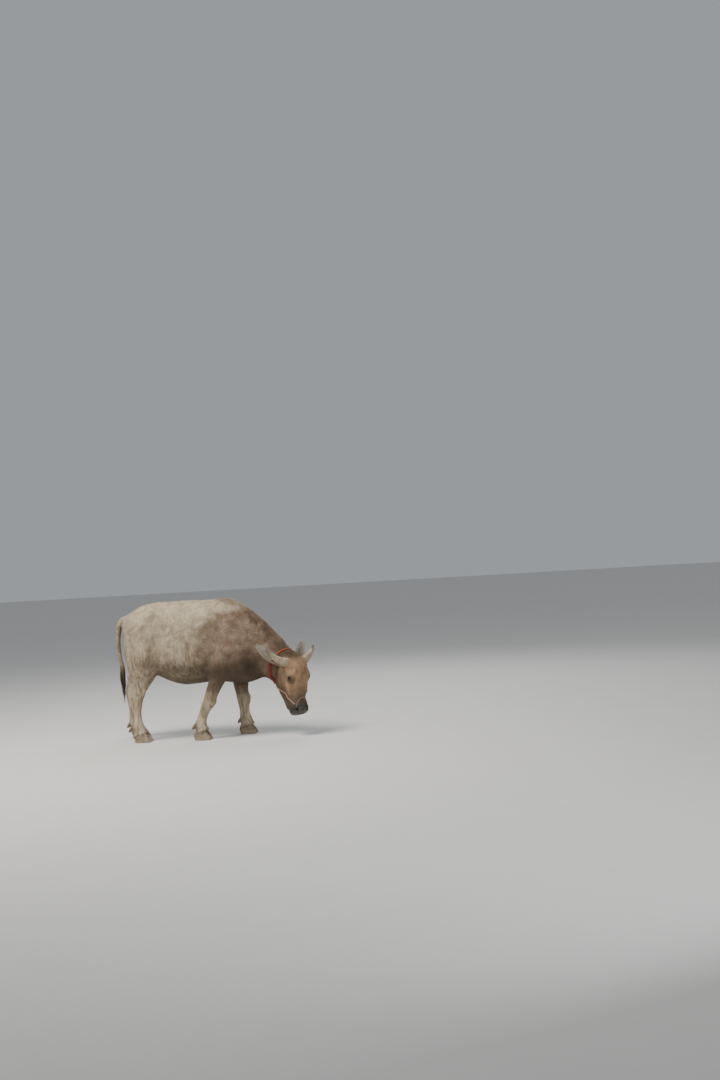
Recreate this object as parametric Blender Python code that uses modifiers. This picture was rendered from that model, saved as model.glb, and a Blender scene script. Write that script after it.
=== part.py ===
"""A young swamp buffalo, life size, grazing with its head turned to its right.

Metres, +Z up. The animal faces +X and its left side is +Y. The flesh is lofted whole from named
sections, fused and smoothed, and then parted by thin cuts into torso, neck, head and legs. Horns,
ears, eyes, hooves, tail and the rope halter are pieces of their own that meet the flesh face to face.
"""

import math

import bmesh
import bpy
import numpy as np
from mathutils import Euler, Matrix, Vector
from mathutils.bvhtree import BVHTree

# Driving dimensions
WITHERS_HEIGHT = 1.065
HEAD_LENGTH = 0.458
HORN_LENGTH = 0.165
EAR_LENGTH = 0.235
EYE_RADIUS = 0.0185
HOOF_LENGTH = 0.128
DRAWN_WITHERS = 1.065  # the withers' height in the tables below
ROPE_RADIUS = 0.0042
GAP = 0.0003

# The head: where its poll is, which way it faces and how it hangs
POLL = Vector((1.198, -0.120, 0.611))
HEAD_YAW = math.radians(-40)
HEAD_PITCH = math.radians(82)
HEAD_ROLL = math.radians(-2)

# How the flesh is meshed
FLESH_VOXEL = 0.0085
RING_POINTS = 36
FLESH_TRIANGLES = 6000
FINE_FACTOR = 0.004


def clear_scene():
    for obj in list(bpy.data.objects):
        bpy.data.objects.remove(obj)


def collection(name):
    made = bpy.data.collections.new(name)
    bpy.context.scene.collection.children.link(made)
    return made


clear_scene()
BUFFALO = collection("buffalo")
HELPERS = collection("helpers")
HELPERS.hide_render = True


def material(name, colour, roughness, metallic=0.0):
    made = bpy.data.materials.new(name)
    made.use_nodes = True
    shader = made.node_tree.nodes["Principled BSDF"]
    shader.inputs["Base Color"].default_value = (*colour, 1.0)
    shader.inputs["Roughness"].default_value = roughness
    shader.inputs["Metallic"].default_value = metallic
    return made


HIDE = material("muddy_hide", (0.33, 0.26, 0.205), 0.85)
HORN = material("horn", (0.42, 0.38, 0.29), 0.55)
HOOF = material("hoof", (0.17, 0.14, 0.115), 0.65)
EAR = material("ear_skin", (0.45, 0.37, 0.31), 0.8)
EYE = material("eye", (0.03, 0.018, 0.012), 0.12)
TAIL_HAIR = material("tail_hair", (0.075, 0.055, 0.042), 0.8)
ROPE = material("rope", (0.62, 0.33, 0.27), 0.8)
YARN = material("red_yarn", (0.50, 0.035, 0.025), 0.9)
BEAD = material("bead", (0.78, 0.66, 0.50), 0.4)


def new_object(name, mesh, where=BUFFALO, finish=None):
    obj = bpy.data.objects.new(name, mesh)
    where.objects.link(obj)
    if finish:
        mesh.materials.clear()
        mesh.materials.append(finish)
    return obj


def object_from(name, bm, where=HELPERS, finish=None):
    """An object from a bmesh, in triangles so that every step sees the same surface."""
    bm.normal_update()
    bmesh.ops.triangulate(bm, faces=bm.faces[:])
    bmesh.ops.recalc_face_normals(bm, faces=bm.faces[:])
    mesh = bpy.data.meshes.new(name)
    bm.to_mesh(mesh)
    bm.free()
    return new_object(name, mesh, where, finish)


def evaluated_copy(obj, name, where=HELPERS, finish=None):
    """The object's mesh with its modifiers applied, in world space, as a new object."""
    bpy.context.view_layer.update()
    graph = bpy.context.evaluated_depsgraph_get()
    mesh = bpy.data.meshes.new_from_object(obj.evaluated_get(graph))
    mesh.transform(obj.matrix_world)
    return new_object(name, mesh, where, finish)


def remove(*objects):
    for obj in objects:
        bpy.data.objects.remove(obj)


def catmull_rom(rows, steps):
    """Smooth rows of numbers: each span between two rows is cut into steps."""
    rows = np.array(rows, float)
    padded = np.vstack([2 * rows[0] - rows[1], rows, 2 * rows[-1] - rows[-2]])
    made = []
    for i in range(len(rows) - 1):
        a, b, c, d = padded[i : i + 4]
        for t in np.linspace(0, 1, steps, endpoint=False):
            bend = (2 * a - 5 * b + 4 * c - d) * t**2 + (3 * b - a - 3 * c + d) * t**3
            made.append(0.5 * (2 * b + (c - a) * t + bend))
    made.append(rows[-1])
    return np.array(made)


def superellipse(centre, across, up, half_across, half_up, half_down, power, count=RING_POINTS):
    """One cross-section. Its upper and lower halves may differ, and power 2 is an ellipse."""
    points = []
    for angle in np.linspace(0, 2 * math.pi, count, endpoint=False):
        c, s = math.cos(angle), math.sin(angle)
        side = math.copysign(abs(c) ** (2 / power), c) * half_across
        rise = math.copysign(abs(s) ** (2 / power), s) * (half_up if s > 0 else half_down)
        points.append(Vector(centre) + Vector(across) * side + Vector(up) * rise)
    return points


def loft(name, rings, where=HELPERS, finish=None):
    """A closed body through rings of equal count, with its ends closed by fans."""
    bm = bmesh.new()
    rows = [[bm.verts.new(p) for p in ring] for ring in rings]
    for lower, upper in zip(rows, rows[1:]):
        for i in range(len(lower)):
            j = (i + 1) % len(lower)
            bm.faces.new((lower[i], lower[j], upper[j], upper[i]))
    for row in (rows[0], rows[-1]):
        middle = bm.verts.new(sum((v.co for v in row), Vector()) / len(row))
        for i in range(len(row)):
            bm.faces.new((row[i], row[(i + 1) % len(row)], middle))
    return object_from(name, bm, where, finish)


# The trunk and neck, from the rump forward. Each station is the top line's point, the under line's
# point, the middle's sideways shift, the half width, how high the widest place is, and how boxy.
TRUNK = (
    # top x, top z, under x, under z, shift y, half width, widest, power
    (-0.148, 0.915, -0.138, 0.780, 0.0, 0.055, 0.50, 2.0),
    (-0.128, 0.972, -0.122, 0.690, 0.0, 0.118, 0.55, 2.0),
    (-0.040, 1.028, -0.060, 0.575, 0.0, 0.172, 0.58, 2.1),
    (0.074, 1.063, 0.060, 0.510, 0.0, 0.205, 0.58, 2.2),
    (0.225, 1.066, 0.195, 0.462, 0.0, 0.222, 0.48, 2.2),
    (0.362, 1.071, 0.320, 0.420, 0.0, 0.243, 0.42, 2.1),
    (0.489, 1.067, 0.440, 0.420, 0.0, 0.240, 0.42, 2.1),
    (0.600, 1.065, 0.560, 0.430, 0.0, 0.222, 0.44, 2.15),
    (0.690, 1.062, 0.680, 0.418, 0.0, 0.202, 0.46, 2.1),
    (0.780, 1.033, 0.790, 0.406, -0.003, 0.186, 0.46, 2.1),
    (0.864, 0.979, 0.868, 0.418, -0.010, 0.158, 0.48, 2.1),
    (0.935, 0.920, 0.925, 0.436, -0.022, 0.134, 0.50, 2.1),
    (1.007, 0.851, 0.972, 0.446, -0.042, 0.117, 0.50, 2.1),
    (1.075, 0.782, 1.008, 0.436, -0.066, 0.107, 0.50, 2.1),
    (1.132, 0.722, 1.045, 0.418, -0.090, 0.101, 0.50, 2.1),
    (1.170, 0.672, 1.085, 0.425, -0.106, 0.088, 0.50, 2.0),
)
NECK_TURN_FROM = 0.78  # x where the neck starts to turn
NECK_TURN_TO = 1.16


def trunk():
    rings = []
    for top_x, top_z, low_x, low_z, shift, half, widest, power in catmull_rom(TRUNK, 4):
        top = Vector((top_x, shift, top_z))
        low = Vector((low_x, shift, low_z))
        height = (top - low).length
        turned = min(max((top_x - NECK_TURN_FROM) / (NECK_TURN_TO - NECK_TURN_FROM), 0), 1)
        yaw = HEAD_YAW * turned
        across = Vector((-math.sin(yaw), math.cos(yaw), 0))
        up = (top - low).normalized()
        centre = low.lerp(top, widest)
        rings.append(superellipse(centre, across, up, half, height * (1 - widest), height * widest, power))
    return loft("trunk", rings)


def head_matrix():
    """The head's own axes: +X runs from the poll to the nose, +Y to its left, +Z out of the forehead."""
    turn = Matrix.Rotation(HEAD_YAW, 4, "Z") @ Matrix.Rotation(HEAD_PITCH, 4, "Y")
    return Matrix.Translation(POLL) @ turn @ Matrix.Rotation(HEAD_ROLL, 4, "X")


HEAD = head_matrix()
HEAD_AXES = HEAD.to_3x3()

# The head from poll to muzzle, in its own axes and as shares of its length
SKULL = (
    # along, half width, forehead side, throat side, power
    (-0.030, 0.048, 0.026, 0.042, 2.0),
    (0.000, 0.086, 0.058, 0.085, 2.1),
    (0.060, 0.109, 0.086, 0.120, 2.2),
    (0.120, 0.114, 0.096, 0.150, 2.3),
    (0.180, 0.110, 0.093, 0.172, 2.3),
    (0.235, 0.099, 0.081, 0.178, 2.3),
    (0.290, 0.085, 0.070, 0.164, 2.3),
    (0.345, 0.075, 0.063, 0.134, 2.3),
    (0.395, 0.072, 0.060, 0.104, 2.4),
    (0.432, 0.071, 0.055, 0.084, 2.5),
    (0.458, 0.061, 0.043, 0.066, 2.3),
    (0.470, 0.040, 0.026, 0.040, 2.2),
)
SKULL_MADE_FOR = 0.47
SKULL_DROOP = 0.010  # how far the nose end's axis sinks from the forehead's


def head_axis(along):
    """The middle of the head's section that far from the poll, in the head's axes."""
    return Vector((along, 0, -SKULL_DROOP * (along / HEAD_LENGTH) ** 2))


def skull():
    scale = HEAD_LENGTH / SKULL_MADE_FOR
    rings = []
    for along, half, front, back, power in catmull_rom(SKULL, 4):
        centre = HEAD @ (head_axis(along * scale))
        across = HEAD_AXES @ Vector((0, 1, 0))
        out = HEAD_AXES @ Vector((0, 0, 1))
        rings.append(superellipse(centre, across, out, half * scale, front * scale, back * scale, power))
    return loft("skull", rings)


# A leg's level sections. Its middle runs between the hoof's x and the upper joint's x by share.
FORE_LEG = (
    # z, share, forward of that line, half depth, y, half width
    (0.840, 1.00, 0.040, 0.075, 0.105, 0.060),
    (0.740, 1.00, 0.062, 0.125, 0.130, 0.078),
    (0.640, 1.00, 0.055, 0.138, 0.145, 0.082),
    (0.560, 1.00, 0.028, 0.117, 0.152, 0.076),
    (0.490, 1.00, 0.000, 0.086, 0.152, 0.066),
    (0.430, 0.84, -0.003, 0.069, 0.150, 0.058),
    (0.360, 0.65, -0.006, 0.058, 0.147, 0.050),
    (0.305, 0.49, 0.000, 0.053, 0.145, 0.048),
    (0.262, 0.37, 0.002, 0.053, 0.144, 0.049),
    (0.220, 0.26, -0.002, 0.045, 0.143, 0.041),
    (0.170, 0.12, -0.002, 0.041, 0.142, 0.037),
    (0.125, 0.00, 0.000, 0.049, 0.142, 0.046),
    (0.088, 0.00, 0.010, 0.053, 0.142, 0.049),
    (0.060, 0.00, 0.016, 0.060, 0.142, 0.053),
    (0.022, 0.00, 0.018, 0.062, 0.142, 0.054),
)
HIND_LEG = (
    (0.900, 1.00, -0.045, 0.075, 0.085, 0.070),
    (0.820, 1.00, -0.020, 0.120, 0.110, 0.092),
    (0.740, 1.00, 0.004, 0.146, 0.130, 0.098),
    (0.660, 1.00, 0.014, 0.148, 0.145, 0.093),
    (0.595, 1.00, 0.008, 0.136, 0.152, 0.080),
    (0.530, 0.84, 0.000, 0.112, 0.152, 0.064),
    (0.470, 0.68, -0.006, 0.095, 0.148, 0.054),
    (0.412, 0.50, -0.027, 0.088, 0.145, 0.048),
    (0.350, 0.38, -0.032, 0.071, 0.143, 0.045),
    (0.280, 0.26, -0.029, 0.057, 0.142, 0.040),
    (0.210, 0.14, -0.021, 0.050, 0.142, 0.037),
    (0.155, 0.05, -0.010, 0.051, 0.142, 0.043),
    (0.115, 0.00, 0.000, 0.056, 0.142, 0.047),
    (0.084, 0.00, 0.020, 0.055, 0.142, 0.050),
    (0.056, 0.00, 0.036, 0.061, 0.142, 0.053),
    (0.022, 0.00, 0.042, 0.063, 0.142, 0.054),
)
# How far the middle of the foot is in front of the fetlock
FOOT_FORWARD = {"fore": 0.014, "hind": 0.038}
# Each leg: its sections, side (-1 is the right), the upper joint's x, the fetlock's x
LEGS = {
    "fore_right": (FORE_LEG, -1, 0.636, 0.458),
    "fore_left": (FORE_LEG, 1, 0.722, 0.752),
    "hind_right": (HIND_LEG, -1, 0.026, -0.040),
    "hind_left": (HIND_LEG, 1, 0.012, -0.142),
}


def leg(name):
    sections, side, joint_x, fetlock_x = LEGS[name]
    rings = []
    for z, share, forward, depth, y, half in catmull_rom(sections, 3):
        x = fetlock_x + (joint_x - fetlock_x) * min(max(share, 0), 1) + forward
        rings.append(superellipse((x, side * y, z), (0, 1, 0), (1, 0, 0), half, depth, depth, 2.1))
    return loft(name + "_form", rings)



def keep_largest(obj):
    """Drops every closed surface of the object but its largest one."""
    bm = bmesh.new()
    bm.from_mesh(obj.data)
    islands = []
    left = set(bm.verts)
    while left:
        start = left.pop()
        island, edge = {start}, [start]
        while edge:
            for link in edge.pop().link_edges:
                for vert in link.verts:
                    if vert in left:
                        left.discard(vert)
                        island.add(vert)
                        edge.append(vert)
        islands.append(island)
    largest = max(islands, key=len)
    bmesh.ops.delete(bm, geom=[v for v in bm.verts if v not in largest], context="VERTS")
    bm.to_mesh(obj.data)
    bm.free()


def boolean(obj, other, operation, solver="MANIFOLD"):
    """Applies one Boolean to the object, and keeps its largest closed surface."""
    cut = obj.modifiers.new("cut", "BOOLEAN")
    cut.operation, cut.solver, cut.object = operation, solver, other
    bpy.context.view_layer.update()
    mesh = bpy.data.meshes.new_from_object(obj.evaluated_get(bpy.context.evaluated_depsgraph_get()))
    obj.modifiers.clear()
    obj.data = mesh
    keep_largest(obj)
    return obj


def grown(obj, by=GAP):
    """A copy of the object whose surface stands out by that much."""
    puff = obj.modifiers.new("puff", "DISPLACE")
    puff.strength, puff.mid_level = by, 0.0
    made = evaluated_copy(obj, obj.name + "_grown")
    obj.modifiers.clear()
    return made


def cut_clear(obj, other, gap=GAP, solver="MANIFOLD"):
    """Cuts the object back from another so that they meet face to face across the gap."""
    cutter = grown(other, gap)
    boolean(obj, cutter, "DIFFERENCE", solver)
    remove(cutter)
    return obj


def box(name, matrix, size):
    """A cutter: a box whose lower face is centred on the matrix's origin, looking along its +Z."""
    bm = bmesh.new()
    bmesh.ops.create_cube(bm, size=1.0)
    bmesh.ops.scale(bm, vec=size, verts=bm.verts)
    bmesh.ops.translate(bm, vec=(0, 0, size[2] / 2), verts=bm.verts)
    bm.transform(matrix)
    made = object_from(name, bm)
    made.display_type, made.hide_render = "WIRE", True
    return made


def part_from(rest, name, matrix, size):
    """Takes the part of a body inside a box as a body of its own, across a thin cut."""
    piece = new_object(name, rest.data.copy(), BUFFALO)
    region = box(name + "_region", matrix, size)
    boolean(piece, region, "INTERSECT")
    wider = box(name + "_wider", matrix @ Matrix.Translation((0, 0, -GAP)), [s + 2 * GAP for s in size])
    boolean(rest, wider, "DIFFERENCE")
    remove(region, wider)
    return piece


def fuse(name, pieces, voxel, smooth):
    """Closed bodies that run into each other made one skin, its creases eased."""
    bm = bmesh.new()
    for piece in pieces:
        bm.from_mesh(piece.data)
    joined = object_from(name + "_joined", bm)
    joined.modifiers.new("skin", "REMESH").voxel_size = voxel
    ease = joined.modifiers.new("ease", "SMOOTH")
    ease.factor, ease.iterations = 0.5, smooth
    made = evaluated_copy(joined, name)
    remove(joined, *pieces)
    return made


def vertex_array(mesh, what):
    values = np.empty(len(mesh.vertices) * 3, np.float32)
    mesh.vertices.foreach_get(what, values)
    return values.reshape(-1, 3).astype(float)


def swell(mesh, path, radius, height):
    """Raises the surface, or with a height under 0 sinks it, near a path of points."""
    places = vertex_array(mesh, "co")
    points = np.array([tuple(p) for p in path], float)
    away = np.full(len(places), 1e9)
    for a, b in list(zip(points, points[1:])) or [(points[0], points[0])]:
        run = b - a
        share = np.clip((places - a) @ run / max(run @ run, 1e-12), 0, 1)
        away = np.minimum(away, np.linalg.norm(places - (a + share[:, None] * run), axis=1))
    near = np.clip(1 - away / radius, 0, 1)
    places += vertex_array(mesh, "normal") * (height * near * near * (3 - 2 * near))[:, None]
    mesh.vertices.foreach_set("co", places.astype(np.float32).ravel())
    mesh.update()


def on_head(along, left, out):
    """A point given in the head's axes."""
    return HEAD @ Vector((along, left, out))


# Strokes that raise or sink the hide: what, the path on the left side, how wide, how high
BODY_STROKES = (
    ("hip bone", ((0.105, 0.165, 0.985),), 0.095, 0.020),
    ("pin bone", ((-0.115, 0.085, 0.905),), 0.070, 0.016),
    ("flank hollow", ((0.235, 0.205, 0.915), (0.205, 0.225, 0.80)), 0.095, -0.026),
    ("flank fold's hollow", ((0.17, 0.215, 0.70), (0.15, 0.225, 0.60)), 0.065, -0.014),
    ("shoulder blade", ((0.730, 0.14, 0.97), (0.79, 0.18, 0.72)), 0.085, 0.012),
    ("point of the shoulder", ((0.835, 0.155, 0.640),), 0.085, 0.018),
    ("hollow behind the shoulder", ((0.595, 0.21, 0.92), (0.575, 0.225, 0.62)), 0.075, -0.014),
    ("elbow", ((0.60, 0.20, 0.585), (0.66, 0.20, 0.56)), 0.070, 0.010),
    ("thigh", ((0.00, 0.20, 0.84), (0.09, 0.235, 0.66)), 0.120, 0.014),
)
MIDDLE_STROKES = (
    ("backbone", ((0.02, 0, 1.06), (0.36, 0, 1.075), (0.66, 0, 1.07)), 0.050, 0.008),
    ("navel fold", ((0.285, 0, 0.42), (0.335, 0, 0.418)), 0.050, 0.009),
)
# The same in the head's axes
FACE_STROKES = (
    ("brow", ((0.150, 0.100, 0.060),), 0.048, 0.017),
    ("horn's root", ((0.045, 0.090, 0.035),), 0.055, 0.014),
    ("cheekbone", ((0.225, 0.098, -0.010), (0.300, 0.078, 0.0)), 0.040, 0.009),
    ("hollow before the eye", ((0.255, 0.075, 0.058), (0.335, 0.062, 0.048)), 0.046, -0.013),
    ("jaw muscle", ((0.200, 0.105, -0.105),), 0.070, 0.014),
    ("hollow of the cheek", ((0.300, 0.080, -0.070), (0.350, 0.070, -0.055)), 0.045, -0.010),
    ("rim of the nostril", ((0.430, 0.052, 0.020),), 0.038, 0.008),
    ("round of the eye", ((0.172, 0.105, 0.046),), 0.034, 0.010),
)
FACE_MIDDLE_STROKES = (
    ("forehead", ((0.085, 0, 0.095),), 0.095, 0.012),
    ("dish of the face", ((0.245, 0, 0.080),), 0.075, -0.008),
    ("chin", ((0.435, 0, -0.085),), 0.040, 0.007),
)
KNEE_SHARE = 0.37
HOCK_SHARE = 0.5
HOCK_BACK = 0.027
FETLOCK_Y = 0.143


def model_body(mesh):
    """Bones, muscles and hollows that show through the hide."""
    for side in (-1, 1):
        for _, path, radius, height in BODY_STROKES:
            swell(mesh, [(x, side * y, z) for x, y, z in path], radius, height)
        for _, path, radius, height in FACE_STROKES:
            swell(mesh, [on_head(x, side * y, z) for x, y, z in path], radius, height)
    for _, path, radius, height in MIDDLE_STROKES:
        swell(mesh, path, radius, height)
    for _, path, radius, height in FACE_MIDDLE_STROKES:
        swell(mesh, [on_head(*point) for point in path], radius, height)


def model_legs(mesh):
    """Knees, hocks, tendons and fetlocks."""
    for name, (_, side, joint_x, fetlock_x) in LEGS.items():
        y = side * FETLOCK_Y
        if name.startswith("fore"):
            knee_x = fetlock_x + (joint_x - fetlock_x) * KNEE_SHARE
            swell(mesh, [(knee_x + 0.05, y, 0.275)], 0.045, 0.008)
            swell(mesh, [(knee_x - 0.05, y, 0.285)], 0.035, 0.007)
        else:
            hock_x = fetlock_x + (joint_x - fetlock_x) * HOCK_SHARE - HOCK_BACK
            swell(mesh, [(hock_x - 0.085, y, 0.415)], 0.045, 0.010)
            for way in (-1, 1):
                # the hollow between hock bone and tendon
                start = (hock_x - 0.050, y + way * 0.045, 0.49)
                swell(mesh, [start, (hock_x - 0.065, y + way * 0.040, 0.43)], 0.035, -0.009)
        for way in (-1, 1):
            # the groove between cannon bone and tendon
            groove = Vector((fetlock_x - 0.012, y + way * 0.04, 0.16))
            swell(mesh, [groove, groove + Vector((0, 0, 0.07))], 0.024, -0.006)
        # the cleft above the two claws
        swell(mesh, [(fetlock_x + 0.07, y, 0.09), (fetlock_x + 0.09, y, 0.03)], 0.022, -0.010)


def weights(obj, name, rule):
    """A vertex group whose weight at each point is rule(points)."""
    group = obj.vertex_groups.new(name=name)
    for index, weight in enumerate(rule(vertex_array(obj.data, "co"))):
        group.add([index], float(weight), "REPLACE")
    return name


def ramp(values, start, end):
    return np.clip((values - start) / (end - start), 0, 1)


def in_head_axes(points):
    back = np.array(HEAD.inverted())
    return points @ back[:3, :3].T + back[:3, 3]


def trunk_share(points):
    """1 on the trunk and neck, 0 on the lower legs and the face."""
    face = ramp(in_head_axes(points)[:, 0], -0.02, 0.06) * ramp(in_head_axes(points)[:, 2], -0.20, -0.12)
    return ramp(points[:, 2], 0.40, 0.50) * (1 - face)


def fine_share(points):
    """Where the mesh stays fine when it is thinned: the face and the feet."""
    face = ramp(in_head_axes(points)[:, 0], 0.02, 0.10) * ramp(in_head_axes(points)[:, 2], -0.20, -0.12)
    feet = 1 - ramp(points[:, 2], 0.12, 0.42)
    return (1 - 0.55 * face) * (1 - 0.30 * feet)


def flesh():
    pieces = [trunk(), skull(), *(leg(name) for name in LEGS)]
    made = fuse("flesh", pieces, FLESH_VOXEL, 4)
    model_body(made.data)
    model_legs(made.data)
    ease = made.modifiers.new("ease_trunk", "SMOOTH")
    ease.factor, ease.iterations = 0.5, 60
    ease.vertex_group = weights(made, "trunk", trunk_share)
    light = made.modifiers.new("ease_all", "SMOOTH")
    light.factor, light.iterations = 0.5, 3
    eased = evaluated_copy(made, "eased")
    remove(made)
    thin = eased.modifiers.new("thin", "DECIMATE")
    triangles = sum(len(p.vertices) - 2 for p in eased.data.polygons)
    thin.ratio = FLESH_TRIANGLES / triangles
    thin.vertex_group = weights(eased, "fine", fine_share)
    thin.vertex_group_factor = FINE_FACTOR
    eased.modifiers.new("facets", "TRIANGULATE")
    body = evaluated_copy(eased, "torso", BUFFALO, HIDE)
    remove(eased)
    return body


# The thin cuts. The throat's is a line in the head's own axes
THROAT_CUT = (Vector((0.000, 0, -0.080)), Vector((0.200, 0, -0.215)))
NECK_CUT_TOP = Vector((0.815, 0, 1.05))
NECK_CUT_LOW = Vector((0.905, 0, 0.40))
ELBOW_Z = 0.440
STIFLE_Z = 0.505
CORONET_FRONT = 0.080
CORONET_HEEL = 0.040


def facing(origin, normal, across):
    """A matrix at a place whose +Z is the normal and whose +Y is about across."""
    z = Vector(normal).normalized()
    x = Vector(across).cross(z).normalized()
    y = z.cross(x)
    return Matrix.Translation(origin) @ Matrix((x, y, z)).transposed().to_4x4()


def part_head(body):
    start, end = (HEAD @ p for p in THROAT_CUT)
    across = HEAD_AXES @ Vector((0, 1, 0))
    normal = across.cross(end - start)
    if normal.dot(HEAD_AXES @ Vector((1, 0, 1))) < 0:
        normal = -normal
    return part_from(body, "head", facing(start.lerp(end, 0.5), normal, across), (0.9, 0.5, 0.6))


def part_neck(body):
    across = Vector((math.sin(math.radians(6)), math.cos(math.radians(6)), 0))
    normal = across.cross(NECK_CUT_TOP - NECK_CUT_LOW)
    middle = NECK_CUT_TOP.lerp(NECK_CUT_LOW, 0.5)
    if normal.x < 0:
        normal = -normal
    return part_from(body, "neck", facing(middle, normal, across), (0.85, 0.6, 0.5))


def part_leg(body, name):
    _, side, joint_x, fetlock_x = LEGS[name]
    fore = name.startswith("fore")
    top = ELBOW_Z if fore else STIFLE_Z
    share = 0.90 if fore else 0.78
    x = fetlock_x + (joint_x - fetlock_x) * share
    lean = Vector((joint_x - fetlock_x, 0, 0.42 if fore else 0.60)) * (1 if fore else 0.5)
    origin = Vector((x, side * 0.205, top))
    depth = 0.24 if fore else 0.42
    return part_from(body, "leg_" + name, facing(origin, -lean, (0, 1, 0)), (depth, 0.25, 0.66))


def foot_middle(name):
    """Where the middle of a foot's sole is."""
    _, side, _, fetlock_x = LEGS[name]
    return Vector((fetlock_x + FOOT_FORWARD[name[:4]], side * 0.142, 0))


def coronet(name, gap=0.0):
    """The sloping plane where a foot's skin ends and its claws begin: its middle, and its normal down."""
    middle = foot_middle(name)
    slope = Vector((0.130, 0, CORONET_FRONT - CORONET_HEEL)).normalized()
    normal = Vector((slope.z, 0, -slope.x))
    return middle + Vector((0, 0, (CORONET_FRONT + CORONET_HEEL) / 2)) + normal * gap, normal


def trim_foot(leg_object, name):
    """Ends the skin of a leg at its coronet."""
    origin, normal = coronet(name)
    cutter = box("below_coronet", facing(origin, normal, (0, 1, 0)), (0.4, 0.26, 0.3))
    boolean(leg_object, cutter, "DIFFERENCE")
    remove(cutter)


# A claw's level sections: z, forward, share of the sole's length, half width
CLAW = (
    (0.000, 0.008, 1.000, 0.0275),
    (0.012, 0.008, 1.010, 0.0280),
    (0.040, 0.001, 0.940, 0.0270),
    (0.070, -0.008, 0.845, 0.0255),
    (0.100, -0.017, 0.750, 0.0240),
)
CLAW_SPREAD = 0.0288
CLAW_SPLAY = math.radians(4)


def claw(label, name, way):
    """One of a foot's two claws, flat underneath, cut to the coronet."""
    origin = foot_middle(name)
    turn = Matrix.Rotation(way * CLAW_SPLAY, 3, "Z")
    across = turn @ Vector((0, 1, 0))
    along = turn @ Vector((1, 0, 0))
    rings = []
    for z, forward, share, half in CLAW:
        centre = origin + turn @ Vector((forward, way * CLAW_SPREAD, 0)) + Vector((0, 0, z))
        reach = share * HOOF_LENGTH / 2
        rings.append(superellipse(centre, across, along, half, reach, reach, 2.35, 16))
    made = loft(f"claw_{name}_{label}", rings, BUFFALO, HOOF)
    top, normal = coronet(name, GAP)
    cutter = box("above_coronet", facing(top, -normal, (0, 1, 0)), (0.4, 0.3, 0.2))
    boolean(made, cutter, "DIFFERENCE")
    remove(cutter)
    return made


# A dewclaw's radius from its root to its tip
DEWCLAW = ((0, 0.011), (0.3, 0.0135), (0.65, 0.0130), (0.9, 0.0095), (1, 0.005))


def dewclaw(label, name, way, leg_object):
    """A small claw behind the fetlock."""
    _, side, _, fetlock_x = LEGS[name]
    back_x = fetlock_x - (0.049 if name.startswith("fore") else 0.054)
    start = Vector((back_x + 0.014, side * 0.142 + way * 0.021, 0.122))
    end = Vector((back_x - 0.012, side * 0.142 + way * 0.025, 0.082))
    down = (end - start).normalized()
    across = Vector((0, 1, 0))
    back = down.cross(across)
    rings = []
    for share, radius in DEWCLAW:
        depth = radius * 0.85
        rings.append(superellipse(start.lerp(end, share), across, back, radius, depth, depth, 2.0, 8))
    made = loft(f"dewclaw_{name}_{label}", rings, BUFFALO, HOOF)
    return cut_clear(made, leg_object)


def tube_frames(path):
    """At each point of a path its place, a sideways direction and an upward one, without twist."""
    frames = []
    up = None
    for i, place in enumerate(path):
        ahead = (path[min(i + 1, len(path) - 1)] - path[max(i - 1, 0)]).normalized()
        if up is None:
            up = ahead.orthogonal()
        up = (up - ahead * up.dot(ahead)).normalized()
        frames.append((place, ahead.cross(up), up))
    return frames


HORN_ROOT = Vector((0.052, 0.084, 0.028))
HORN_RADIUS = 0.033
HORN_FLATNESS = 0.84
HORN_SUNK = 0.035  # how far the horn starts inside the skull


def horn(side, head):
    """A short young horn: oval, out to the side and then bending up and back."""
    steps = 15
    place = Vector((HORN_ROOT.x, side * HORN_ROOT.y, HORN_ROOT.z))
    reach = HORN_LENGTH + HORN_SUNK
    rings = []
    for i in range(steps + 1):
        share = i / steps
        rise = math.radians(16 + 42 * share)
        ahead = Vector((-math.sin(rise), side * math.cos(rise), -0.17)).normalized()
        flat = Vector((math.cos(rise), side * math.sin(rise), 0)).normalized()
        edge = ahead.cross(flat)
        radius = HORN_RADIUS * (1 - share) ** 0.62 * (1 - 0.12 * share) + 0.0035 * (share < 1)
        depth = radius * HORN_FLATNESS
        across, out = HEAD_AXES @ flat, HEAD_AXES @ edge
        rings.append(superellipse(HEAD @ place, across, out, radius, depth, depth, 2.2, 12))
        place = place + ahead * (reach / steps)
    made = loft("horn_" + ("left" if side > 0 else "right"), rings, BUFFALO, HORN)
    return cut_clear(made, head)


EAR_ROOT = Vector((0.092, 0.064, -0.032))
EAR_WAY = Vector((-0.76, 0.60, -0.30))
EAR_OPENS = Vector((0.10, 0.02, 1.0))
# share of the length, half width, half angle of the cup in degrees
EAR_SHAPE = (
    (0.00, 0.015, 160),
    (0.15, 0.019, 148),
    (0.28, 0.028, 118),
    (0.43, 0.039, 86),
    (0.60, 0.043, 64),
    (0.78, 0.037, 50),
    (0.91, 0.025, 42),
    (1.00, 0.007, 34),
)
EAR_THICKNESS = 0.0050
EAR_SUNK = 0.047


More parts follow.
